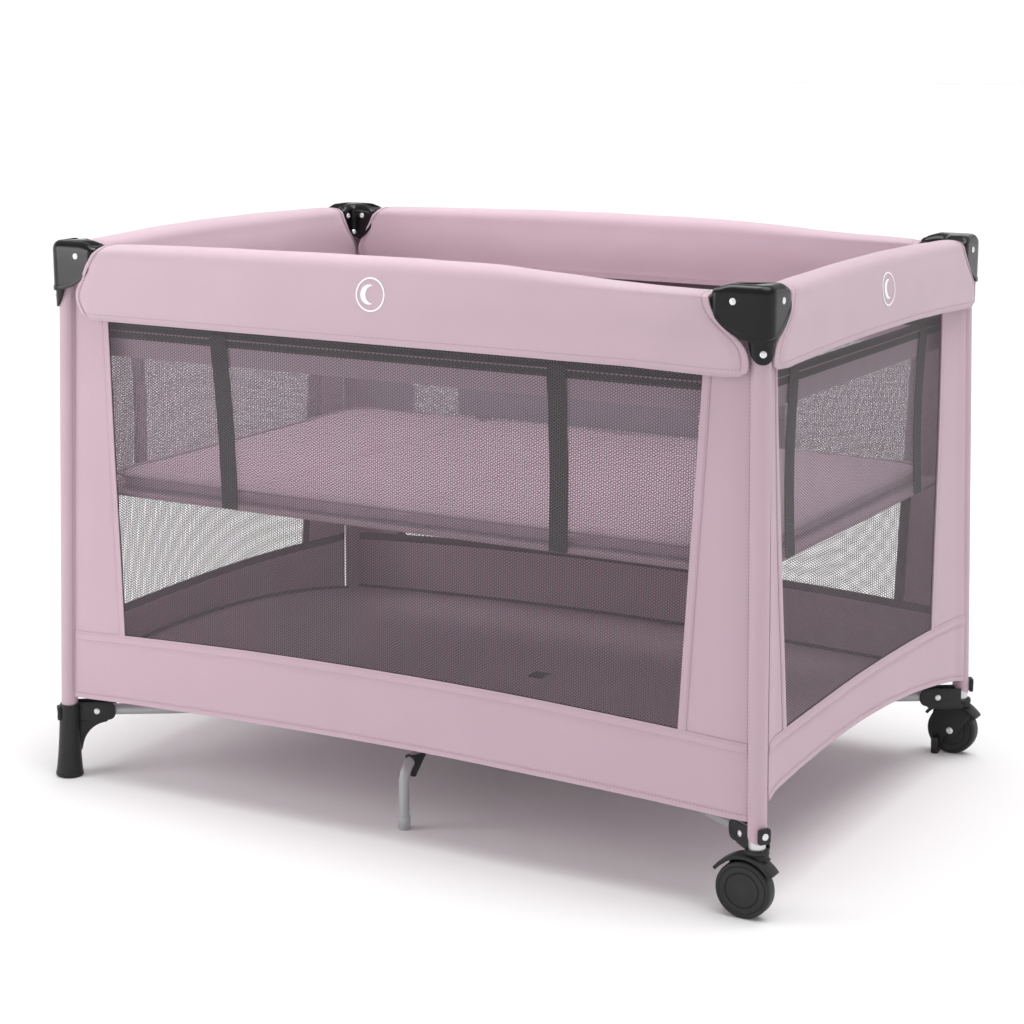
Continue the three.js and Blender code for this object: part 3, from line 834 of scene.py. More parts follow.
def add_wall(side):
    """Band, two side panels, net window, tapes and stitching of one side."""
    name = side.name
    band = wall_patch(
        f"band_{name}", side, from_post_to_post(side, 0.0),
        lambda s: (band_low(side, s), band_top(side, s)), 110, 0.0, WALL_CLOTH)
    hem = wall_patch(
        f"band_hem_{name}", side, from_post_to_post(side, 0.001),
        along_band(side, band_top, -0.013, 0.0004), 110, 0.0009, WALL_CLOTH, TAPE_THICK)
    foot = wall_patch(
        f"band_foot_{name}", side, from_post_to_post(side, 0.001),
        along_band(side, band_low, -0.0006, 0.0075), 110, 0.0008, WALL_CLOTH, TAPE_THICK)
    inner = wall_patch(
        f"band_inner_tape_{name}", side, from_post_to_post(side, 0.004),
        along_band(side, band_top, -0.011, 0.001), 80, -0.0022, DARK_TAPE, INNER_TAPE_THICK)

    def window_edges(z):
        return (-window_edge(side, z, -1) - 0.006, window_edge(side, z, 1) + 0.006)

    window = wall_patch(
        f"window_{name}", side, window_edges, up_to_rail(side, 0.008), 60, -0.0017, MESH, 0.0)
    panels, bindings, tapes = add_window_ends(side)
    stitches, foot_stitches = add_wall_stitches(side)

    width = 2 * side.half(BAND_TOP)
    declare_sheet()
    declare_sheet()
    for panel, binding, tape, sign in zip(panels, bindings, tapes, (-1, 1)):
        declare_sheet()
    for piece in [band, hem, foot, inner, stitches, foot_stitches] + panels + bindings + tapes:
        fold_with(side, piece)
    fold_with(side, window)
    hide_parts(f"wall_{name}")


def add_sleeve(corner):
    """The cloth tube over a post, with a seam towards each of its two walls."""
    wheeled = corner in WHEELED
    outward = post_at(corner, 0.4)
    away = math.atan2(outward.y, outward.x)
    rows = []
    for share in steps(0.0, 1.0, 60):
        row = []
        for angle in ring_of(32):
            rise = 0.010 * (1 - math.cos(angle - away)) / 2
            low = (0.094 if wheeled else 0.100) + rise
            z = low + (0.704 - low) * share
            radius = 0.0116 + 0.0010 * share + ripple(Vector((angle, z * 7, len(corner))), 1.0, 0.0003)
            direction = Vector((math.cos(angle), math.sin(angle), 0))
            row.append(post_at(corner, z) + direction * radius)
        rows.append(row)
    sleeve = cloth(f"post_sleeve_{corner}", rows, WALL_CLOTH, closed=True)
    thicken(sleeve, 0.0009)
    runs = []
    for side in SIDES:
        if corner not in (side.first, side.last):
            continue
        sign = -1 if corner == side.first else 1
        run = []
        for z in steps(0.125, 0.69, 90):
            direction = (side.out * 0.5 - side.along * sign * 0.86).normalized()
            run.append((post_at(corner, z) + direction * 0.0127, direction))
        runs.append(run)
    seam = stitch_mesh(f"sleeve_seam_{corner}", runs, DARK_THREAD)
    declare_sheet()
    mount(f"corner_{corner}", (sleeve, "wall_fabric"), (seam, "wall_fabric"))


# ---------- rail covers ----------

HEM_Z = 0.656
ROLL_SIDE_Z = 0.742
COVER_OUT = 0.0200
HALF_SEAM = {"front": 0.013, "rear": -0.006, "right": 0.022, "left": -0.010}
HEM_STRIP = 0.0100
SKIRT_V = 0.36
ROLL_V = 0.28
COVER_ROUND = 0.008


def ridge(side, s):
    """Height of the cover's top. The long covers drop towards the wheel end."""
    rise = 0.011 if side.long else 0.010
    drop = 0.0080 * smooth(s * side.along.x, 0.13, 0.37)
    return 0.7535 + rise * (1 - (s / side.half(RAIL_Z)) ** 2) - drop


def hem(side, s):
    """Height of the cover's outer hem."""
    if side.long:
        return HEM_Z - 0.003 * smooth(s * side.along.x, 0.33, 0.47)
    return HEM_Z + 0.004 + 0.009 * (1 - (s / side.half(RAIL_Z)) ** 2)


# How far a cover's end stands from its post's axis at each height, at a foot, at a wheel and on a
# short side.
END_HEIGHTS = (0.656, 0.664, 0.679, 0.692, 0.707, 0.722, 0.736, 0.750, 0.758)
END_INSETS = {
    "foot": (0.046, 0.037, 0.029, 0.028, 0.035, 0.043, 0.049, 0.060, 0.068),
    "wheel": (0.014, 0.010, 0.011, 0.017, 0.035, 0.052, 0.060, 0.062, 0.064),
    "short": (0.008, 0.003, 0.001, 0.004, 0.019, 0.034, 0.043, 0.047, 0.048),
}


def cover_inset(side, z, bottom, sign):
    """From the post's axis to the cover's end, which follows the cap and has a round corner."""
    kind = "short"
    if side.long:
        kind = "wheel" if sign * side.along.x > 0 else "foot"
    total = 0.0
    for near in (-0.006, -0.003, 0.0, 0.003, 0.006):
        level = min(max(z + near, END_HEIGHTS[0]), END_HEIGHTS[-1])
        k = max(i for i in range(len(END_HEIGHTS) - 1) if END_HEIGHTS[i] <= level)
        share = (level - END_HEIGHTS[k]) / (END_HEIGHTS[k + 1] - END_HEIGHTS[k])
        low, high = END_INSETS[kind][k:k + 2]
        total += (low + (high - low) * share) / 5
    below = COVER_ROUND - (z - bottom)
    if below > 0:
        total += COVER_ROUND - math.sqrt(max(0.0, COVER_ROUND ** 2 - below ** 2))
    return total


def cover_section(side, s, v):
    """(d, z) of the cover's section at s: v runs 0 to 1 from the outer hem over to the inner one."""
    bottom = hem(side, s) + (0.012 if v > 0.5 else 0.0)
    top = ridge(side, s)
    if v < SKIRT_V or v > 1 - SKIRT_V:
        share = min(v, 1 - v) / SKIRT_V
        z = bottom + (ROLL_SIDE_Z - bottom) * share
        fold = 0.0006 * (1 - smooth(z, bottom + 0.0095, bottom + 0.0105))
        d = COVER_OUT + 0.0030 * math.sin(math.pi * share) + fold
        return (d if v < 0.5 else -d), z
    angle = (v - SKIRT_V) / ROLL_V * math.pi
    power = 0.82
    d = COVER_OUT * math.copysign(abs(math.cos(angle)) ** power, math.cos(angle))
    return d, ROLL_SIDE_Z + (top - ROLL_SIDE_Z) * math.sin(angle) ** power


def cover_point(side, s, v, lift=0.0):
    """(point, normal) on the cover's cloth, with its creases and its tucked ends."""
    d, z = cover_section(side, s, v)
    dz = 0.002
    d_next, z_next = cover_section(side, s, min(1.0, v + dz))
    d_last, z_last = cover_section(side, s, max(0.0, v - dz))
    normal = side.along.cross(side.out * (d_next - d_last) + UP * (z_next - z_last)).normalized()
    if normal.dot(side.out * d + UP * (z - 0.70)) < 0:
        normal = -normal
    end = side.half(z) - abs(s) - cover_inset(side, z, hem(side, s), math.copysign(1, s))
    low = 1 - smooth(z, 0.700, 0.735)
    tuck = -(0.0024 + 0.0030 * low) * (1 - smooth(end, 0.0, 0.014))
    tuck -= (0.0006 + 0.0014 * low) * math.exp(-((end - 0.0105) / 0.0024) ** 2)
    crease = ripple(Vector((s * 22, v * 5, 1.7)), 1.0, 0.0006)
    crease += ripple(Vector((s * 5, v * 3, 4)), 1.0, 0.0013)
    pucker = ripple(Vector((s * 90, 0, 9)), 1.0, 0.0005) * (1 - smooth(z, HEM_Z + 0.01, HEM_Z + 0.03))
    return side.at(s, z, d) + normal * (lift + tuck + crease + pucker), normal


def cover_ends(side, half):
    """The corner end's sign and the s of the seam between the two halves."""
    positive = side.along.x + side.along.y > 0
    sign = -1 if (half == "a") == positive else 1
    return sign, HALF_SEAM[side.name]


def cover_s(side, sign, seam, v, share):
    """s at a share of the way from the corner end to the seam."""
    s = sign * 0.3
    for _ in range(3):
        _, z = cover_section(side, s, v)
        end = sign * (side.half(z) - cover_inset(side, z, hem(side, s), sign))
        s = end + (seam - end) * share
    return s


def add_cover_stitches(side, sign, seam, name):
    """A row above each hem and one round the cover's end."""
    runs = []
    hem_v = SKIRT_V * (HEM_STRIP - 0.0015) / (ROLL_SIDE_Z - HEM_Z)
    for v in (hem_v, 1 - hem_v):
        runs.append([
            cover_point(side, cover_s(side, sign, seam, v, share), v, 0.0002)
            for share in steps(0.02, 1.0, 100)])
    end_run = []
    for v in steps(0.03, 0.97, 110):
        s = cover_s(side, sign, seam, v, 0.0) - sign * 0.0075
        end_run.append(cover_point(side, s, v, 0.0002))
    runs.append(end_run)
    return stitch_mesh(f"cover_stitches_{name}", runs, THREAD)


def add_cover_binding(side, sign, seam, name):
    """The tape that wraps the cover's end."""
    section = ((0.0, -0.0016), (0.0, 0.0004), (0.002, 0.0012), (0.005, 0.0012), (0.0062, 0.0004))
    rows = []
    for v in steps(0.02, 0.98, 100):
        s = cover_s(side, sign, seam, v, 0.0)
        rows.append([
            cover_point(side, s + sign * 0.0008 - sign * across, v, lift)[0]
            for across, lift in section])
    return thicken(cloth(f"cover_binding_{name}", rows, RAIL_CLOTH), 0.0007, 0.0)


def add_cover(side, half):
    name = f"{side.name}_{half}"
    sign, seam = cover_ends(side, half)
    columns = 90 if side.long else 60
    rows = []
    for v in steps(0.0, 1.0, 56):
        order = steps(0.0, 1.0, columns)
        if sign > 0:
            order.reverse()
        rows.append([
            cover_point(side, cover_s(side, sign, seam, v, share), v)[0] for share in order])
    cover = thicken(cloth(f"cover_{name}", rows, RAIL_CLOTH), 0.0022)
    stitches = add_cover_stitches(side, sign, seam, name)
    binding = add_cover_binding(side, sign, seam, name)
    length = side.half(RAIL_Z) - 0.03
    declare_sheet()
    pieces = [cover, stitches, binding]
    if half == "a" and side.name in ("front", "right"):
        pieces.append(add_badge(side))
    for piece in pieces:
        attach(piece, f"rail_{name}")
        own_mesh(piece)
    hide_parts(f"rail_cover_{name}")


def add_badge(side):
    """A printed ring round a crescent moon, a generic mark."""
    centre_s, centre_z = {"front": (-0.0085, 0.7185), "right": (-0.002, 0.7205)}[side.name]
    ring_out, ring_in = 0.0215, 0.0195

    def on_cover(x, y):
        s = centre_s + x
        z = centre_z + y
        bottom = hem(side, s)
        v = SKIRT_V * (z - bottom) / (ROLL_SIDE_Z - bottom)
        return cover_point(side, s, v, 0.0005)[0]

    points = []
    faces = []
    for i, angle in enumerate(ring_of(72)):
        for radius in (ring_in, ring_out):
            points.append(on_cover(radius * math.cos(angle), radius * math.sin(angle)))
        nxt = (i + 1) % 72
        faces.append((2 * i, 2 * i + 1, 2 * nxt + 1, 2 * nxt))
    start = len(points)
    outer, inner, shift = 0.0125, 0.0112, 0.0062
    tip = math.acos((outer ** 2 + shift ** 2 - inner ** 2) / (2 * outer * shift))
    inner_tip = math.acos((outer ** 2 - shift ** 2 - inner ** 2) / (2 * inner * shift))
    count = 30
    for i in range(count + 1):
        share = i / count
        a = tip + (2 * math.pi - 2 * tip) * share
        b = inner_tip + (2 * math.pi - 2 * inner_tip) * share
        points.append(on_cover(outer * math.cos(a) - 0.002, outer * math.sin(a)))
        points.append(on_cover(shift + inner * math.cos(b) - 0.002, inner * math.sin(b)))
        if i < count:
            k = start + 2 * i
            faces.append((k, k + 1, k + 3, k + 2))
    badge = new_piece(f"printed_moon_{side.name}", points, faces, PRINT)
    thicken(badge, 0.0003, 0.0)
    return badge


# ---------- corner caps ----------

CAP_WIDE = 0.0198
CAP_REACH_LONG = 0.059
CAP_REACH_SHORT = 0.046
CAP_SHOULDER = TOP - 0.0125
CAP_LOBE = 0.0110


def cap_outline():
    """Points and outward normals of the cap seen from above: an L with round lobes. u and v run
    inwards along the long and the short rail."""
    wide, big, small, inner = CAP_WIDE, 0.017, CAP_LOBE, 0.006
    long, short = CAP_REACH_LONG, CAP_REACH_SHORT
    arcs = [
        (-wide + big, -wide + big, big, 180, 270),
        (long - small, -wide + small, small, 270, 360),
        (long - small, wide - small, small, 0, 90),
        (wide + inner, wide + inner, -inner, 270, 180),
        (wide - small, short - small, small, 0, 90),
        (-wide + small, short - small, small, 90, 180),
    ]
    ring = []
    for u, v, radius, start, end in arcs:
        for angle in steps(math.radians(start), math.radians(end), 10):
            normal = Vector((math.cos(angle), math.sin(angle)))
            ring.append((Vector((u, v)) + normal * abs(radius), normal if radius > 0 else -normal))
    full = []
    for (point, normal), (after, _) in zip(ring, ring[1:] + ring[:1]):
        full.append((point, normal))
        extra = int((after - point).length / 0.003)
        for i in range(1, extra + 1):
            full.append((point.lerp(after, i / (extra + 1)), normal))
    return full


def cap_low(u, v):
    """The lower edge: a long curve from each lobe's end down to the post."""
    edges = []
    for value, reach, power in ((u, CAP_REACH_LONG, 2.0), (v, CAP_REACH_SHORT, 1.6)):
        share = min(1.0, max(0.0, (value + CAP_WIDE) / (reach + CAP_WIDE)))
        edges.append(CAP_LOW + 0.053 * (1 - (1 - share ** power) ** (1 / power)))
    return max(edges)


def cap_rim(low):
    """Height of the bead along the lower edge."""
    return min(0.006, (CAP_SHOULDER - low) * 0.6)


def cap_tongue(corner, away):
    """The curved tab that runs down the post's outer side from the cap."""
    across = UP.cross(away)
    rows = []
    for share in steps(0.0, 1.0, 10):
        row = []
        for turn in steps(-1.0, 1.0, 24):
            low = CAP_LOW - 0.023 + 0.023 * abs(turn) ** 2.3
            z = low + (CAP_LOW + 0.006 - low) * share
            angle = math.radians(80) * turn
            out = away * math.cos(angle) + across * math.sin(angle)
            row.append(post_at(corner, z) + out * (0.0162 + 0.0012 * share))
        rows.append(row)
    return soften(thicken(cloth("cap_tongue", rows, BLACK_GLOSS), 0.0030), 0.0009, 2)


def add_cap(corner):
    axis = post_at(corner, RAIL_Z)
    side_u = Vector((-math.copysign(1, axis.x), 0, 0))
    side_v = Vector((0, -math.copysign(1, axis.y), 0))
    base = Vector((axis.x, axis.y, 0))
    outline = cap_outline()

    def at(point, z):
        return base + side_u * point.x + side_v * point.y + UP * z

    rows = []
    for share, lift in ((0.0, 0.0), (0.0, 0.0009), (0.5, 0.0011), (0.9, 0.0009), (1.0, 0.0)):
        row = []
        for point, normal in outline:
            low = cap_low(*point)
            row.append(at(point + normal * lift, low + cap_rim(low) * share))
        rows.append(row)
    for share in (0.35, 0.7, 1.0):
        row = []
        for point, normal in outline:
            low = cap_low(*point)
            low += cap_rim(low)
            row.append(at(point, low + (CAP_SHOULDER - low) * share))
        rows.append(row)
    for angle in steps(0.0, math.pi / 2, 9)[1:]:
        inset = CAP_LOBE * 0.97 * (1 - math.cos(angle))
        row = []
        for point, normal in outline:
            fall = 0.0055 * (smooth(point.x, 0.032, 0.058) + smooth(point.y, 0.024, 0.045))
            z = CAP_SHOULDER + (TOP - CAP_SHOULDER - fall) * math.sin(angle)
            row.append(at(point - normal * inset, z))
        rows.append(row)
    shell = cloth("cap_shell", rows, BLACK_GLOSS, closed=True)
    width = len(outline)
    add_faces(shell, [[(len(rows) - 1) * width + i for i in range(width)]])
    for face in shell.data.polygons:
        face.use_smooth = True
    thicken(shell, 0.0026)

    turned = 0.51 if axis.x > 0 else 0.86
    away = -(side_u * turned + side_v * math.sqrt(1 - turned ** 2)).normalized()
    cap = join(f"moulded_cap_{corner}", [shell, cap_tongue(corner, away)])

    studs = [
        (at(Vector((0.028, -CAP_WIDE)), 0.7405), -side_v),
        (at(Vector((-CAP_WIDE, 0.017)), 0.7405), -side_u),
        (post_at(corner, 0.6815) + away * 0.0170, away),
        (at(Vector((0.036, CAP_WIDE)), 0.7425), side_v),
        (at(Vector((CAP_WIDE, 0.034)), 0.7425), side_u),
        (at(Vector((CAP_WIDE + 0.0018, CAP_WIDE + 0.0018)), 0.7160), side_u + side_v),
    ]
    rivets = join(f"cap_rivets_{corner}", [rivet(point, normal) for point, normal in studs])
    mount(f"corner_{corner}", (cap, "cap_plastic"), (rivets, "steel_tube"))
    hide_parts(f"corner_cap_{corner}")


# ---------- rails and lower tubes ----------


def box_axis(node):
    """(start, end, radius) of a straight tube that runs along X or Y."""
    low, high = corners_of(node)
    size = high - low
    k = 0 if size.x > size.y else 1
    start = (low + high) / 2
    end = start.copy()
    start[k] = low[k]
    end[k] = high[k]
    return start, end, size.z / 2


def add_rails():
    for side in SIDES:
        for half in "ab":
            node = f"rail_{side.name}_{half}"
            start, end, radius = box_axis(node)
            rail = tube(f"top_{node}", line_steps(start, end, 12), radius, STEEL)
            mount(node, (rail, "steel_tube"))
            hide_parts(node)


STUB = 0.005
TUBE_RADIUS = 0.008


def lower_ends(corner):
    """A lower tube's two pivots, at the corner and at the hub."""
    if corner == "front_left":
        names = ("fold", "hub_level")
    else:
        names = (f"corner_{corner}_level", f"tube_{corner}")
    return [Vector(JOINT[name]["pos_m"]) for name in names]


def add_lower_tubes():
    for corner in CORNERS:
        outer, inner = lower_ends(corner)
        run = (inner - outer).normalized()
        start = outer - run * STUB
        end = inner + run * STUB
        bar = tube(f"floor_bar_{corner}", line_steps(start, end, 12), TUBE_RADIUS, GREY_PAINT)
        clip_at = outer.lerp(inner, 0.42)
        clip_run = line_steps(clip_at - run * 0.011, clip_at + run * 0.011, 4)
        clip = tube(f"bar_clip_{corner}", clip_run, TUBE_RADIUS + 0.0016, BLACK_MATT)
        mount(f"lower_tube_{corner}", (bar, "grey_tube"), (clip, "foot_plastic"))
        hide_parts(f"lower_tube_{corner}")


# ---------- floor of the pen ----------

FLOOR_EDGE = 0.0015


def edge_rise(x, y):
    """The floor's edges follow the band that they are sewn to, which arches between the posts."""
    rise = 0.0
    for side in SIDES:
        point = Vector((x, y, FLOOR_Z)) - side.at(0, FLOOR_Z)
        s = point.dot(side.along)
        near = 1 - smooth(-point.dot(side.out), 0.0, 0.070)
        rise = max(rise, (band_low(side, s) - BAND_LOW) * near)
    return rise


def add_floor_quarter(corner):
    reach = post_at(corner, FLOOR_Z)
    middle = (POSTS["front_left"][0] + POSTS["rear_right"][0]) / 2
    rows = []
    flat = []
    for v in steps(0.0, 1.0, 26):
        row = []
        uvs = []
        for u in steps(0.0, 1.0, 36):
            x = middle.x + (reach.x - middle.x + math.copysign(FLOOR_EDGE, reach.x)) * u
            y = (reach.y + math.copysign(FLOOR_EDGE, reach.y)) * v
            sag = -0.0008 + ripple(Vector((x * 9, y * 9, 2)), 1.0, 0.0011)
            row.append(Vector((x, y, FLOOR_Z + max(0.0, edge_rise(x, y)) + sag)))
            uvs.append((x, y))
        rows.append(row)
        flat.append(uvs)
    quarter = cloth(f"floor_quarter_{corner}", rows, FLOOR_CLOTH, flat)
    thicken(quarter, 0.0020, 1.0 if reach.x * reach.y < 0 else -1.0)
    declare_sheet()
    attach(quarter, f"lower_tube_{corner}")
    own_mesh(quarter)
    if corner == "front_left":
        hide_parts("pen_floor")


def add_floor_piping(side):
    reach = side.half(FLOOR_Z) - 0.013
    path = [side.at(s, band_low(side, s) + 0.0050, -0.0005) for s in steps(-reach, reach, 80)]
    piping = tube(f"floor_piping_{side.name}", path, 0.0024, DARK_TAPE, sides=10)
    fold_with(side, piping)


# ---------- bassinet insert ----------

INSERT_LOW = Vector(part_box("bassinet_wall_left")[0])
INSERT_HIGH = Vector(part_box("bassinet_wall_right")[1])
INSERT_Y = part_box("bassinet_wall_rear")[1][1]
INSERT_TOP = INSERT_HIGH.z
INSERT_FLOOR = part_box("bassinet_floor")
INSERT_FLOOR_LOW = INSERT_FLOOR[0][2]
INSERT_FLOOR_TOP = INSERT_FLOOR[1][2]
BAND_DEEP = 0.021
VEIL_DEEP = 0.025


class InsertWall:
    """One wall of the insert: s along it, z up, d outwards."""

    def __init__(self, name, side):
        self.name = name
        self.along = side.along
        self.out = side.out
        centre_x = (INSERT_LOW.x + INSERT_HIGH.x) / 2
        half_x = (INSERT_HIGH.x - INSERT_LOW.x) / 2
        self.half = half_x if side.long else INSERT_Y
        self.depth = INSERT_Y if side.long else half_x
        self.centre = Vector((centre_x, 0, 0))

    def at(self, s, z, d=0.0):
        middle = self.centre + self.out * (self.depth + d)
        return middle + self.along * s + UP * z


def insert_out(wall, s, z):
    """The net hangs a little slack between its top band and its floor."""
    share = (z - INSERT_FLOOR_TOP) / (INSERT_TOP - INSERT_FLOOR_TOP)
    slack = -0.004 * math.sin(math.pi * min(1.0, max(0.0, share)))
    return slack - 0.001 + ripple(Vector((s * 6, z * 6, len(wall.name))), 1.0, 0.0012)


def on_insert(wall, s, z, lift):
    return wall.at(s, z, insert_out(wall, s, z) + lift)


def insert_patch(name, wall, across, upwards, lift, material, thick):
    """A patch of the insert's wall through the given places along it and heights."""
    rows = [[on_insert(wall, s, z, lift) for s in across] for z in upwards]
    flat = [[(s, z) for s in across] for z in upwards]
    piece = cloth(name, rows, material, flat)
    if thick:
        thicken(piece, thick)
    return piece


def add_insert_wall(side):
    wall = InsertWall(side.name, side)
    name = side.name
    foot = INSERT_FLOOR_TOP + 0.001
    band_foot = INSERT_TOP - BAND_DEEP
    veil_low = band_foot - VEIL_DEEP
    edge = wall.half - 0.001
    across = steps(-edge, edge, 60)
    mesh = insert_patch(
        f"insert_net_{name}", wall, across, steps(foot, veil_low + 0.002, 14), 0.0, INNER_MESH, 0.0)
    veil = insert_patch(
        f"insert_veil_{name}", wall, across, steps(veil_low, band_foot, 4), 0.0004, VEIL_CLOTH, 0.0006)
    band = insert_patch(
        f"insert_band_{name}", wall, across, steps(band_foot, INSERT_TOP, 6), 0.001, WEBBING, 0.0016)
    middle = INSERT_TOP - BAND_DEEP / 2
    piping_path = [on_insert(wall, s, middle, 0.0016) for s in across]
    cord = tube(f"insert_band_piping_{name}", piping_path, 0.0009, PIPING, sides=8)
    runs = []
    for below in (0.0022, BAND_DEEP - 0.0022):
        z = INSERT_TOP - below
        runs.append([(on_insert(wall, s, z, 0.0012), side.out) for s in steps(-edge, edge, 90)])
    stitches = stitch_mesh(f"insert_band_stitches_{name}", runs, DARK_THREAD)
    declare_sheet()
    declare_sheet()
    declare_sheet()
    mount("bassinet", (mesh, "mesh_fabric"), (veil, "mesh_fabric"), (band, "strap_fabric"),
          (cord, "strap_fabric"), (stitches, "strap_fabric"))
    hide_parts(f"bassinet_wall_{name}")
    for number, (top_s, foot_s) in enumerate(strap_places(side)):
        add_insert_strap(wall, f"insert_strap_{name}_{number + 1}", top_s, foot_s)


def strap_places(side):
    """Where the load straps run, at their top and at their foot."""
    if side.name == "front":
        return ((-0.272, -0.258), (0.239, 0.244))
    if side.name == "rear":
        return ((-0.239, -0.244), (0.272, 0.258))
    sign = side.along.y
    return ((sign * -0.220, sign * -0.217), (sign * 0.225, sign * 0.222))


STRAP_WIDE = 0.026


def add_insert_strap(wall, name, top_s, foot_s):
    low = INSERT_FLOOR_LOW
    across = steps(-STRAP_WIDE / 2, STRAP_WIDE / 2, 6)
    rows = []
    for z in steps(INSERT_TOP - 0.004, low + 0.001, 30):
        share = (INSERT_TOP - z) / (INSERT_TOP - low)
        s = top_s + (foot_s - top_s) * share
        lift = insert_out(wall, s, max(z, low + 0.004)) + 0.0030
        rows.append([wall.at(s + a, z, lift) for a in across])
    for inward in steps(0.0, 0.060, 8)[1:]:
        rows.append([wall.at(foot_s + a, low - 0.0012, -inward) for a in across])
    strap = thicken(cloth(name, rows, WEBBING), 0.0014, 0.0)
    declare_sheet()
    mount("bassinet", (strap, "strap_fabric"))


def add_insert_floor():
    low, high = corners_of("bassinet_floor")
    rows = []
    flat = []
    for y in steps(low.y + 0.002, high.y - 0.002, 40):
        row = []
        for x in steps(low.x + 0.002, high.x - 0.002, 60):
            wavy = ripple(Vector((x * 7, y * 7, 3)), 1.0, 0.0004)
            row.append(Vector((x, y, high.z - 0.0002 + wavy)))
        rows.append(row)
        flat.append([(point.x, point.y) for point in row])
    board = cloth("insert_floor_cloth", rows, FLOOR_CLOTH, flat)
    thicken(board, high.z - low.z - 0.0002)
    declare_sheet()
    left, right = low.x + 0.001, high.x - 0.001
    near, far = low.y + 0.001, high.y - 0.001
    z = low.z + 0.002
    corners = [Vector((x, y, z)) for x, y in ((left, near), (right, near), (right, far), (left, far))]
    path = []
    for start, end in zip(corners, corners[1:] + corners[:1]):
        path += line_steps(start, end, 40)[:-1]
    path.append(path[0].copy())
    piping = tube("insert_floor_piping", path, 0.0026, PIPING, sides=10)
    mount("bassinet", (board, "floor_fabric"), (piping, "floor_fabric"))
    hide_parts("bassinet_floor")


def add_insert_pockets():
    """Flat pockets inside the rear wall."""
    rear = InsertWall("rear", SIDES[2])
    pockets = (("wide", -0.118, 0.300, 0.436, 0.512), ("small", 0.385, 0.470, 0.428, 0.488))
    for name, start, end, low, high in pockets:
        pocket = insert_patch(
            f"insert_pocket_{name}", rear, steps(start, end, 30), steps(low, high, 8),
            -0.004, POCKET_CLOTH, 0.0010)
        runs = []
        for z in (low + 0.003, high - 0.004):
            runs.append([
                (on_insert(rear, s, z, -0.0056), -rear.out)
                for s in steps(start + 0.003, end - 0.003, 40)])
        stitches = stitch_mesh(f"insert_pocket_stitches_{name}", runs, DARK_THREAD)
        declare_sheet()
        mount("bassinet", (pocket, "mesh_fabric"), (stitches, "mesh_fabric"))


# ---------- mattress ----------

PAD_CHANNELS = 4
PAD_FRAMES = 20


def puff(piece, pinned, pressure, most, voxel):
    """Fills a pad by cloth simulation and keeps every point within reach of where it began."""
    remesh = piece.modifiers.new("even_faces", "REMESH")
    remesh.mode = "VOXEL"
    remesh.voxel_size = voxel
    apply_modifiers(piece)
    rest = [vertex.co.copy() for vertex in piece.data.vertices]
    group = piece.vertex_groups.new(name="sewn")
    group.add([i for i, point in enumerate(rest) if pinned(point)], 1.0, "REPLACE")
    made = piece.modifiers.new("filling", "CLOTH")
    made.settings.use_pressure = True
    made.settings.uniform_pressure_force = pressure
    made.settings.vertex_group_mass = "sewn"
    made.settings.effector_weights.gravity = 0.0
    made.point_cache.frame_start = 1
    made.point_cache.frame_end = PAD_FRAMES
    for number in range(1, PAD_FRAMES + 1):
        bpy.context.scene.frame_set(number)
    apply_modifiers(piece)
    bpy.context.scene.frame_set(1)
    for vertex, start in zip(piece.data.vertices, rest):
        move = vertex.co - start
        if move.length > most:
            vertex.co = start + move.normalized() * most
    piece.vertex_groups.clear()
    finer = piece.modifiers.new("finer", "SUBSURF")
    finer.levels = 1
    finer.render_levels = 1


def add_mattress():
    low, high = corners_of("mattress")
    inset = 0.006
    swell = 0.0035
    floor_gap = 0.0005
    radius = 0.045
    left, right = low.x + inset + radius, high.x - inset - radius
    near, far = low.y + inset + radius, high.y - inset - radius
    outline = []
    for x, y, start in ((right, far, 0), (left, far, 90), (left, near, 180), (right, near, 270)):
        outline += arc(Vector((x, y, 0)), RIGHT, BACK, radius, start, start + 90, 10)
    middle = UP * ((low.z + high.z) / 2)
    flat_height = high.z - low.z - 2 * swell
    pad = slab("mattress_pad", [point + middle for point in outline], UP, flat_height, PAD_CLOTH)
    width = high.x - low.x
    folds = [low.x + width * i / PAD_CHANNELS for i in range(1, PAD_CHANNELS)]

    def from_fold(point):
        return min(abs(point.x - fold) for fold in folds)

    puff(pad, lambda point: from_fold(point) < 0.005, 3.0, swell + 0.001, 0.007)
    apply_modifiers(pad)
    for vertex in pad.data.vertices:
        if vertex.co.z > middle.z:
            vertex.co.z -= 0.0035 * math.exp(-(from_fold(vertex.co) / 0.006) ** 2)
        vertex.co.z = min(high.z, max(low.z + floor_gap, vertex.co.z))
    pad.data.polygons.foreach_set("use_smooth", [True] * len(pad.data.polygons))
    edge = []
    for point in outline:
        away = Vector((math.copysign(0.002, point.x), math.copysign(0.002, point.y), 0))
        edge.append(point + UP * (high.z - 0.0050) + away)
    edge.append(edge[0].copy())
    piping = tube("mattress_piping", edge, 0.0021, PIPING, sides=10)
    seam_z = high.z - swell - 0.0024
    seam_ys = steps(low.y + 0.03, high.y - 0.03, 60)
    runs = [[(Vector((fold, y, seam_z)), UP) for y in seam_ys] for fold in folds]
    stitches = stitch_mesh("mattress_stitches", runs, DARK_THREAD)
    mount("mattress", *((piece, "floor_fabric") for piece in (pad, piping, stitches)))
    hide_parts("mattress")


# ---------- feet, wheels and centre legs ----------

ARM_LOW = TUBE_Z - 0.013
ARM_HIGH = TUBE_Z + 0.013


def arm_frame(corner):
    """The lower tube's outer pivot, the direction along the tube to the hub, and across it."""
    pivot, hub = lower_ends(corner)
    run = (hub - pivot).normalized()
    return pivot, run, UP.cross(run)


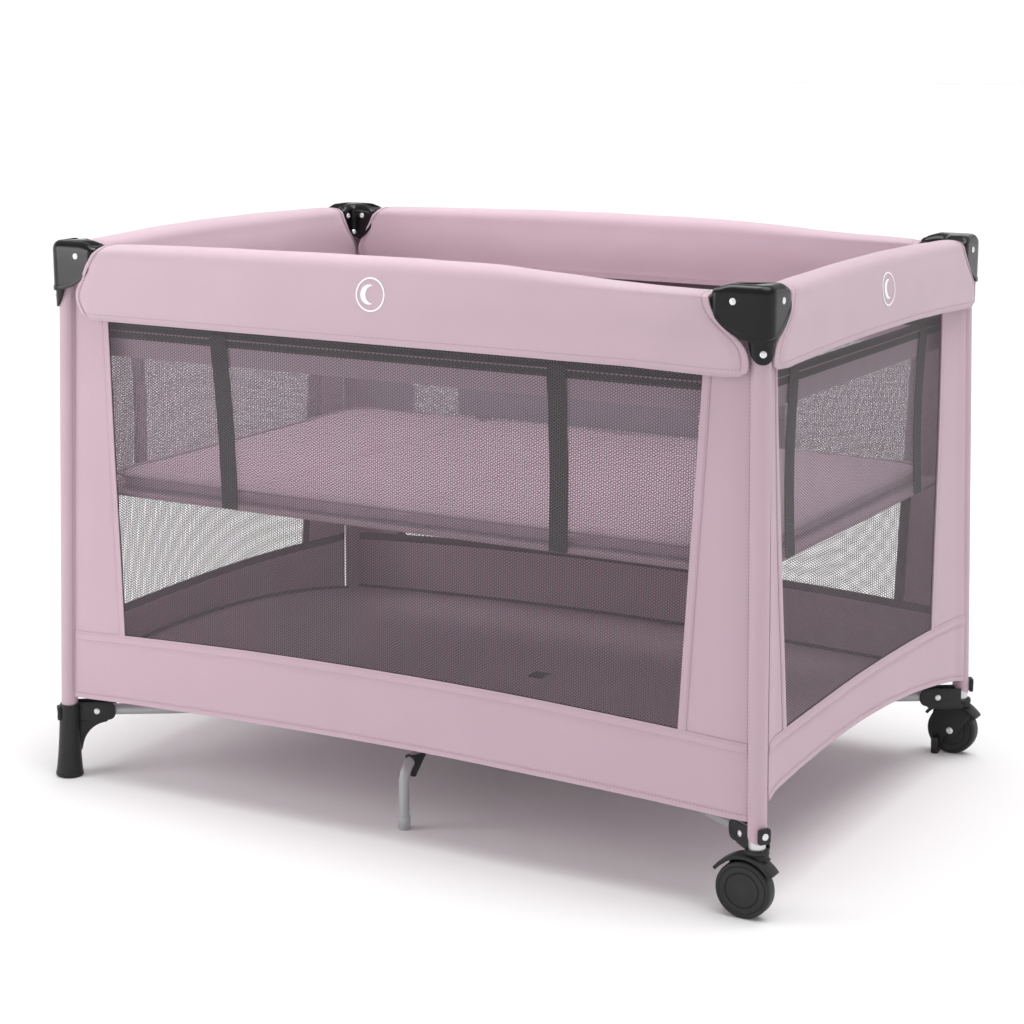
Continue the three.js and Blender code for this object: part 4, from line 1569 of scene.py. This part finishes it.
def rivet_plate(corner):
    """The small square plate on the post's outer side, with its face's middle and direction."""
    wheeled = corner in WHEELED
    plate_at = post_at(corner, TUBE_Z + (0.013 if wheeled else 0.0))
    sign_x, sign_y = math.copysign(1, plate_at.x), math.copysign(1, plate_at.y)
    outward = Vector((sign_x * (1.6 if wheeled else 1.0), sign_y, 0)).normalized()
    beside = UP.cross(outward)
    face = []
    for sign_u, sign_v, begin in ((1, 1, 0), (-1, 1, 90), (-1, -1, 180), (1, -1, 270)):
        middle = plate_at + outward * 0.0150 + beside * sign_u * 0.0045 + UP * sign_v * 0.0060
        face += arc(middle, beside, UP, 0.0040, begin, begin + 90, 5)
    plate = slab("rivet_plate", face, outward, 0.0050, BLACK_MATT, 0.0012)
    return plate, plate_at + outward * 0.0175, outward


def add_arm_cheeks(corner, gusset_foot):
    """Two plates that hold the lower tube, with a curved web below that runs down the post.
    Returns them, the rivet plate and the rivets."""
    pivot, run, across = arm_frame(corner)
    back = (post_at(corner, TUBE_Z) - pivot).dot(run)
    centre = Vector((pivot.x, pivot.y, 0))

    def at(reach, z):
        return centre + run * reach + UP * z

    tip = 0.026
    plates = []
    outline = [at(back + 0.004, ARM_LOW), at(back + 0.004, ARM_HIGH)]
    outline += arc(at(tip - 0.010, ARM_HIGH - 0.010), run, UP, 0.010, 90, 0, 8)
    outline += arc(at(tip - 0.010, ARM_LOW + 0.010), run, UP, 0.010, 0, -90, 8)
    for sign in (-1, 1):
        moved = [point + across * sign * (TUBE_RADIUS + 0.0005 + 0.00125) for point in outline]
        plates.append(slab("cheek", moved, across, 0.0025, BLACK_MATT, 0.0009))
    web = [at(back, gusset_foot), at(back, ARM_LOW + 0.0015), at(tip - 0.010, ARM_LOW + 0.0015)]
    start, end = at(tip - 0.012, ARM_LOW - 0.0035), at(back + 0.014, gusset_foot)
    bend = at(back + 0.020, ARM_LOW - 0.008)
    for t in steps(0.0, 1.0, 16):
        web.append(start * (1 - t) ** 2 + bend * 2 * t * (1 - t) + end * t ** 2)
    plates.append(slab("web", web, across, 0.0165, BLACK_MATT, 0.0022))
    plate, stud_at, outward = rivet_plate(corner)
    plates.append(plate)
    studs = [
        (pivot + across * (TUBE_RADIUS + 0.003), across),
        (pivot - across * (TUBE_RADIUS + 0.003), -across),
        (stud_at, outward),
    ]
    return plates, [rivet(point, normal, 0.0044) for point, normal in studs]


def post_axis(corner):
    low, high = POSTS[corner]
    return (high - low).normalized()


def collar(corner, low, high, radius):
    """A moulded ring round the post."""
    tall = high - low
    bore = 0.0112
    edge = 0.0015
    profile = [
        (bore, 0), (radius - edge, 0), (radius, edge), (radius, tall - edge), (radius - edge, tall),
        (bore, tall), (bore, 0)]
    return lathe("collar", profile, post_at(corner, low), post_axis(corner), BLACK_MATT)


def add_foot(corner):
    name = f"foot_{corner}"
    profile = [(0, 0.0), (0.0175, 0.0), (0.0192, 0.0016), (0.0195, 0.0045), (0.0188, 0.0075)]
    for share in steps(0.0, 1.0, 14):
        z = 0.0095 + (0.104 - 0.0095) * share
        profile.append((0.0144 + 0.0040 * (1 - share) ** 2.4, z))
    profile += [(0.0134, 0.1055), (0.0, 0.1055)]
    stem = lathe("stem", profile, post_at(corner, 0.0), post_axis(corner), BLACK_MATT)
    plates, studs = add_arm_cheeks(corner, 0.033)
    foot = join(f"moulded_{name}", [stem] + plates)
    rivets = join(f"foot_rivets_{corner}", studs)
    mount(f"corner_{corner}", (foot, "foot_plastic"), (rivets, "steel_tube"))
    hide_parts(name)


def wheel_centre(corner):
    side = "front" if "front" in corner else "rear"
    return Vector(JOINT[f"wheel_{side}_spin"]["pos_m"])


def wheel_size(corner):
    """Half a wheel's width, and its radius."""
    low, high = corners_of(f"wheel_{corner}")
    return (high.y - low.y) / 2, (high.z - low.z) / 2


def add_wheel(corner):
    """A moulded wheel with two grooves on each face."""
    node = f"wheel_{corner}"
    half, radius = wheel_size(corner)
    sunk = (
        (0.0, 0.0008), (0.0205, 0.0006), (0.0213, 0.0016), (0.0222, 0.0016), (0.0230, 0.0004),
        (0.0290, 0.0), (0.0298, 0.0010), (0.0308, 0.0010), (0.0316, 0.0002))
    face = [(reach, half - depth) for reach, depth in sunk]
    for a in steps(0.1, math.pi / 2, 5):
        face.append((radius - 0.004 + 0.004 * math.sin(a), half - 0.004 + 0.0038 * math.cos(a)))
    profile = [(reach, -height) for reach, height in face] + face[::-1]
    wheel = lathe(f"moulded_{node}", profile, wheel_centre(corner), BACK, WHEEL_BLACK, sides=96)
    mount("wheel_front" if "front" in corner else "wheel_rear", (wheel, "wheel_plastic"))
    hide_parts(node)


def add_fender(corner, side_x, side_y):
    """The arched guard over the wheel."""
    centre = wheel_centre(corner)
    half, radius = wheel_size(corner)
    rows = []
    for angle in steps(30, 150, 44):
        ends = abs(angle - 90) / 60
        reach = radius + 0.0028 + 0.0012 * max(0.0, ends - 0.72) / 0.28
        out = side_x * math.cos(math.radians(angle)) + UP * math.sin(math.radians(angle))
        row = []
        for across in steps(-half - 0.0012, half + 0.0040, 10):
            crown = 0.0012 * (1 - (across / (half + 0.004)) ** 2)
            row.append(centre + out * (reach + crown) + side_y * across)
        rows.append(row)
    outwards = 1.0 if side_x.x * side_y.y > 0 else -1.0
    fender = thicken(cloth("fender", rows, BLACK_MATT), 0.0046, outwards)
    return soften(fender, 0.0010, 2)


def add_throat(corner):
    """The flared neck between the fender and the post."""
    centre = wheel_centre(corner)
    _, radius = wheel_size(corner)
    base = post_at(corner, ARM_LOW)
    low = centre.z + radius + 0.0030
    sides, levels = 36, 10
    rows = []
    for share in steps(0.0, 1.0, levels):
        z = low + (ARM_LOW + 0.002 - low) * share
        flare = 0.0135 + 0.0060 * (1 - share) ** 2
        middle = Vector((base.x, base.y, z)).lerp(Vector((centre.x, base.y, z)), (1 - share) * 0.4)
        rows.append([
            middle + Vector((math.cos(angle) * flare * 1.15, math.sin(angle) * 0.0125, 0))
            for angle in ring_of(sides)])
    throat = cloth("throat", rows, BLACK_MATT, closed=True)
    top = levels * sides
    add_faces(throat, [list(range(sides))[::-1], list(range(top, top + sides))])
    return throat


def add_wheel_bracket(corner):
    """Arm, collar, arched fender over the wheel, inner plate, stop foot and the wheel's shaft."""
    name = f"wheel_bracket_{corner}"
    centre = wheel_centre(corner)
    side_x = Vector((-math.copysign(1, centre.x), 0, 0))
    side_y = Vector((0, -math.copysign(1, centre.y), 0))
    half, radius = wheel_size(corner)
    fender = add_fender(corner, side_x, side_y)
    plate_at = half + 0.0024

    def at(u, z):
        return centre + side_x * u + side_y * plate_at + UP * z

    floor = -radius + 0.0003
    outline = arc(at(0, 0), side_x, UP, radius + 0.0030, 140, 48, 16)
    outline += [at(0.0290, 0.006), at(0.0275, -radius + 0.004), at(0.0250, floor), at(0.0150, floor)]
    outline += arc(at(0.0, 0.0), side_x, UP, 0.0125, -50, -150, 8)
    plate = slab("inner_plate", outline, side_y, 0.0034, BLACK_MATT, 0.0010)
    stop_at = centre + side_x * 0.0200 + side_y * (half + 0.0075)
    sole = -radius + 0.0002
    stop_profile = [(0, sole), (0.0052, sole), (0.0058, -radius + 0.0012), (0.0050, -0.012), (0, -0.010)]
    stop = lathe("stop", stop_profile, stop_at, UP, BLACK_MATT, sides=28)
    plates, studs = add_arm_cheeks(corner, ARM_LOW - 0.005)
    ring = collar(corner, ARM_LOW + 0.0003, ARM_LOW + 0.006, 0.0150)
    throat = add_throat(corner)
    studs.append(rivet(centre + side_y * (plate_at + 0.0017), side_y, 0.0052))
    shaft = [centre + side_y * y for y in steps(0.001 - half, half + 0.0042, 4)]
    axle = tube(f"wheel_shaft_{corner}", shaft, 0.0040, STEEL, sides=20)
    bracket = join(f"moulded_{name}", [fender, plate, stop, ring, throat] + plates)
    rivets = join(f"bracket_rivets_{corner}", studs)
    mount(f"corner_{corner}", (axle, "steel_tube"), (bracket, "wheel_plastic"), (rivets, "steel_tube"))
    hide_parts(f"axle_{corner}")
    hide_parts(name)


POST_RADIUS = 0.0105


def add_posts():
    """The bare steel posts, which show below their sleeves."""
    for corner in CORNERS:
        low, high = POSTS[corner]
        post = tube(f"steel_post_{corner}", line_steps(low, high, 12), POST_RADIUS, STEEL)
        mount(f"corner_{corner}", (post, "steel_tube"))
        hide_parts(f"post_{corner}")


LEG_RADIUS = 0.007
LEG_BEND = 0.030


def add_centre_leg(name):
    """A painted tube from the hub that bends down to the floor, with a cap on its foot."""
    low, high = corners_of(f"centre_leg_{name}")
    sign = -1 if name == "front" else 1
    x = (low.x + high.x) / 2
    near, far = (high.y, low.y) if sign < 0 else (low.y, high.y)
    foot_y = far - sign * LEG_RADIUS
    bend = Vector((x, foot_y - sign * LEG_BEND, TUBE_Z - LEG_BEND))
    out = Vector((0, sign, 0))
    path = line_steps(Vector((x, near + sign * 0.004, TUBE_Z)), Vector((x, bend.y, TUBE_Z)), 10)
    path += arc(bend, out, UP, LEG_BEND, 90, 0, 14)[1:]
    path += line_steps(path[-1], Vector((x, foot_y, 0.012)), 6)[1:]
    leg = tube(f"leg_tube_{name}", path, LEG_RADIUS, GREY_PAINT)
    profile = [(0, 0.0), (0.0074, 0.0), (0.0082, 0.0012), (0.0082, 0.017), (0.0074, 0.0185), (0, 0.0185)]
    cap = lathe(f"leg_foot_{name}", profile, Vector((x, foot_y, 0)), UP, GREY_PAINT, sides=32)
    top = bend.y + sign * LEG_BEND * 0.55
    section = ((0.0, 0.005), (0.034, 0.004), (0.030, -0.002), (0.004, -0.026))
    outline = [Vector((x, top - sign * back, TUBE_Z + rise)) for back, rise in section]
    gusset = slab(f"leg_gusset_{name}", outline, RIGHT, 0.0155, BLACK_MATT, 0.0025)
    mount(f"centre_leg_{name}", (leg, "grey_tube"), (cap, "grey_tube"), (gusset, "foot_plastic"))
    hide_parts(f"centre_leg_{name}")


def add_pull_strap():
    low, high = corners_of("pull_strap")
    x = (low.x + high.x) / 2
    wide = high.x - low.x - 0.001
    rows = []
    for share in steps(0.0, 1.0, 50):
        y = low.y + 0.003 + (high.y - low.y - 0.006) * share
        z = low.z + 0.002 + (high.z - low.z - 0.004) * math.sin(math.pi * share) ** 2
        rows.append([Vector((x + a, y, z)) for a in steps(-wide / 2, wide / 2, 6)])
    strap = thicken(cloth("lifting_strap", rows, WEBBING), 0.0016, 0.0)
    declare_sheet()
    mount("hub", (strap, "strap_fabric"))
    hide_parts("pull_strap")


def finish_cad_nodes():
    """Rounded edges and real materials on the CAD pieces that still show."""
    looks = {"hub": BLACK_MATT, "rail_lock": BLACK_MATT, "release_button": GREY_BUTTON}
    for name, node in frame["nodes"].items():
        if node.hide_render:
            continue
        material = next(look for prefix, look in looks.items() if name.startswith(prefix))
        for slot in node.material_slots:
            slot.material = material
        if not node.material_slots:
            node.data.materials.append(material)
        round_edges(node, 0.0012, 2)


add_camera()
add_floor()
add_studio()
for side in SIDES:
    add_wall(side)
    for half in "ab":
        add_cover(side, half)
    add_floor_piping(side)
    add_insert_wall(side)
for corner in CORNERS:
    add_sleeve(corner)
    add_cap(corner)
add_posts()
add_rails()
add_lower_tubes()
for corner in CORNERS:
    add_floor_quarter(corner)
add_insert_floor()
add_insert_pockets()
add_mattress()
for corner in CORNERS:
    if corner in WHEELED:
        add_wheel(corner)
        add_wheel_bracket(corner)
    else:
        add_foot(corner)
for name in ("front", "rear"):
    add_centre_leg(name)
add_pull_strap()
finish_cad_nodes()
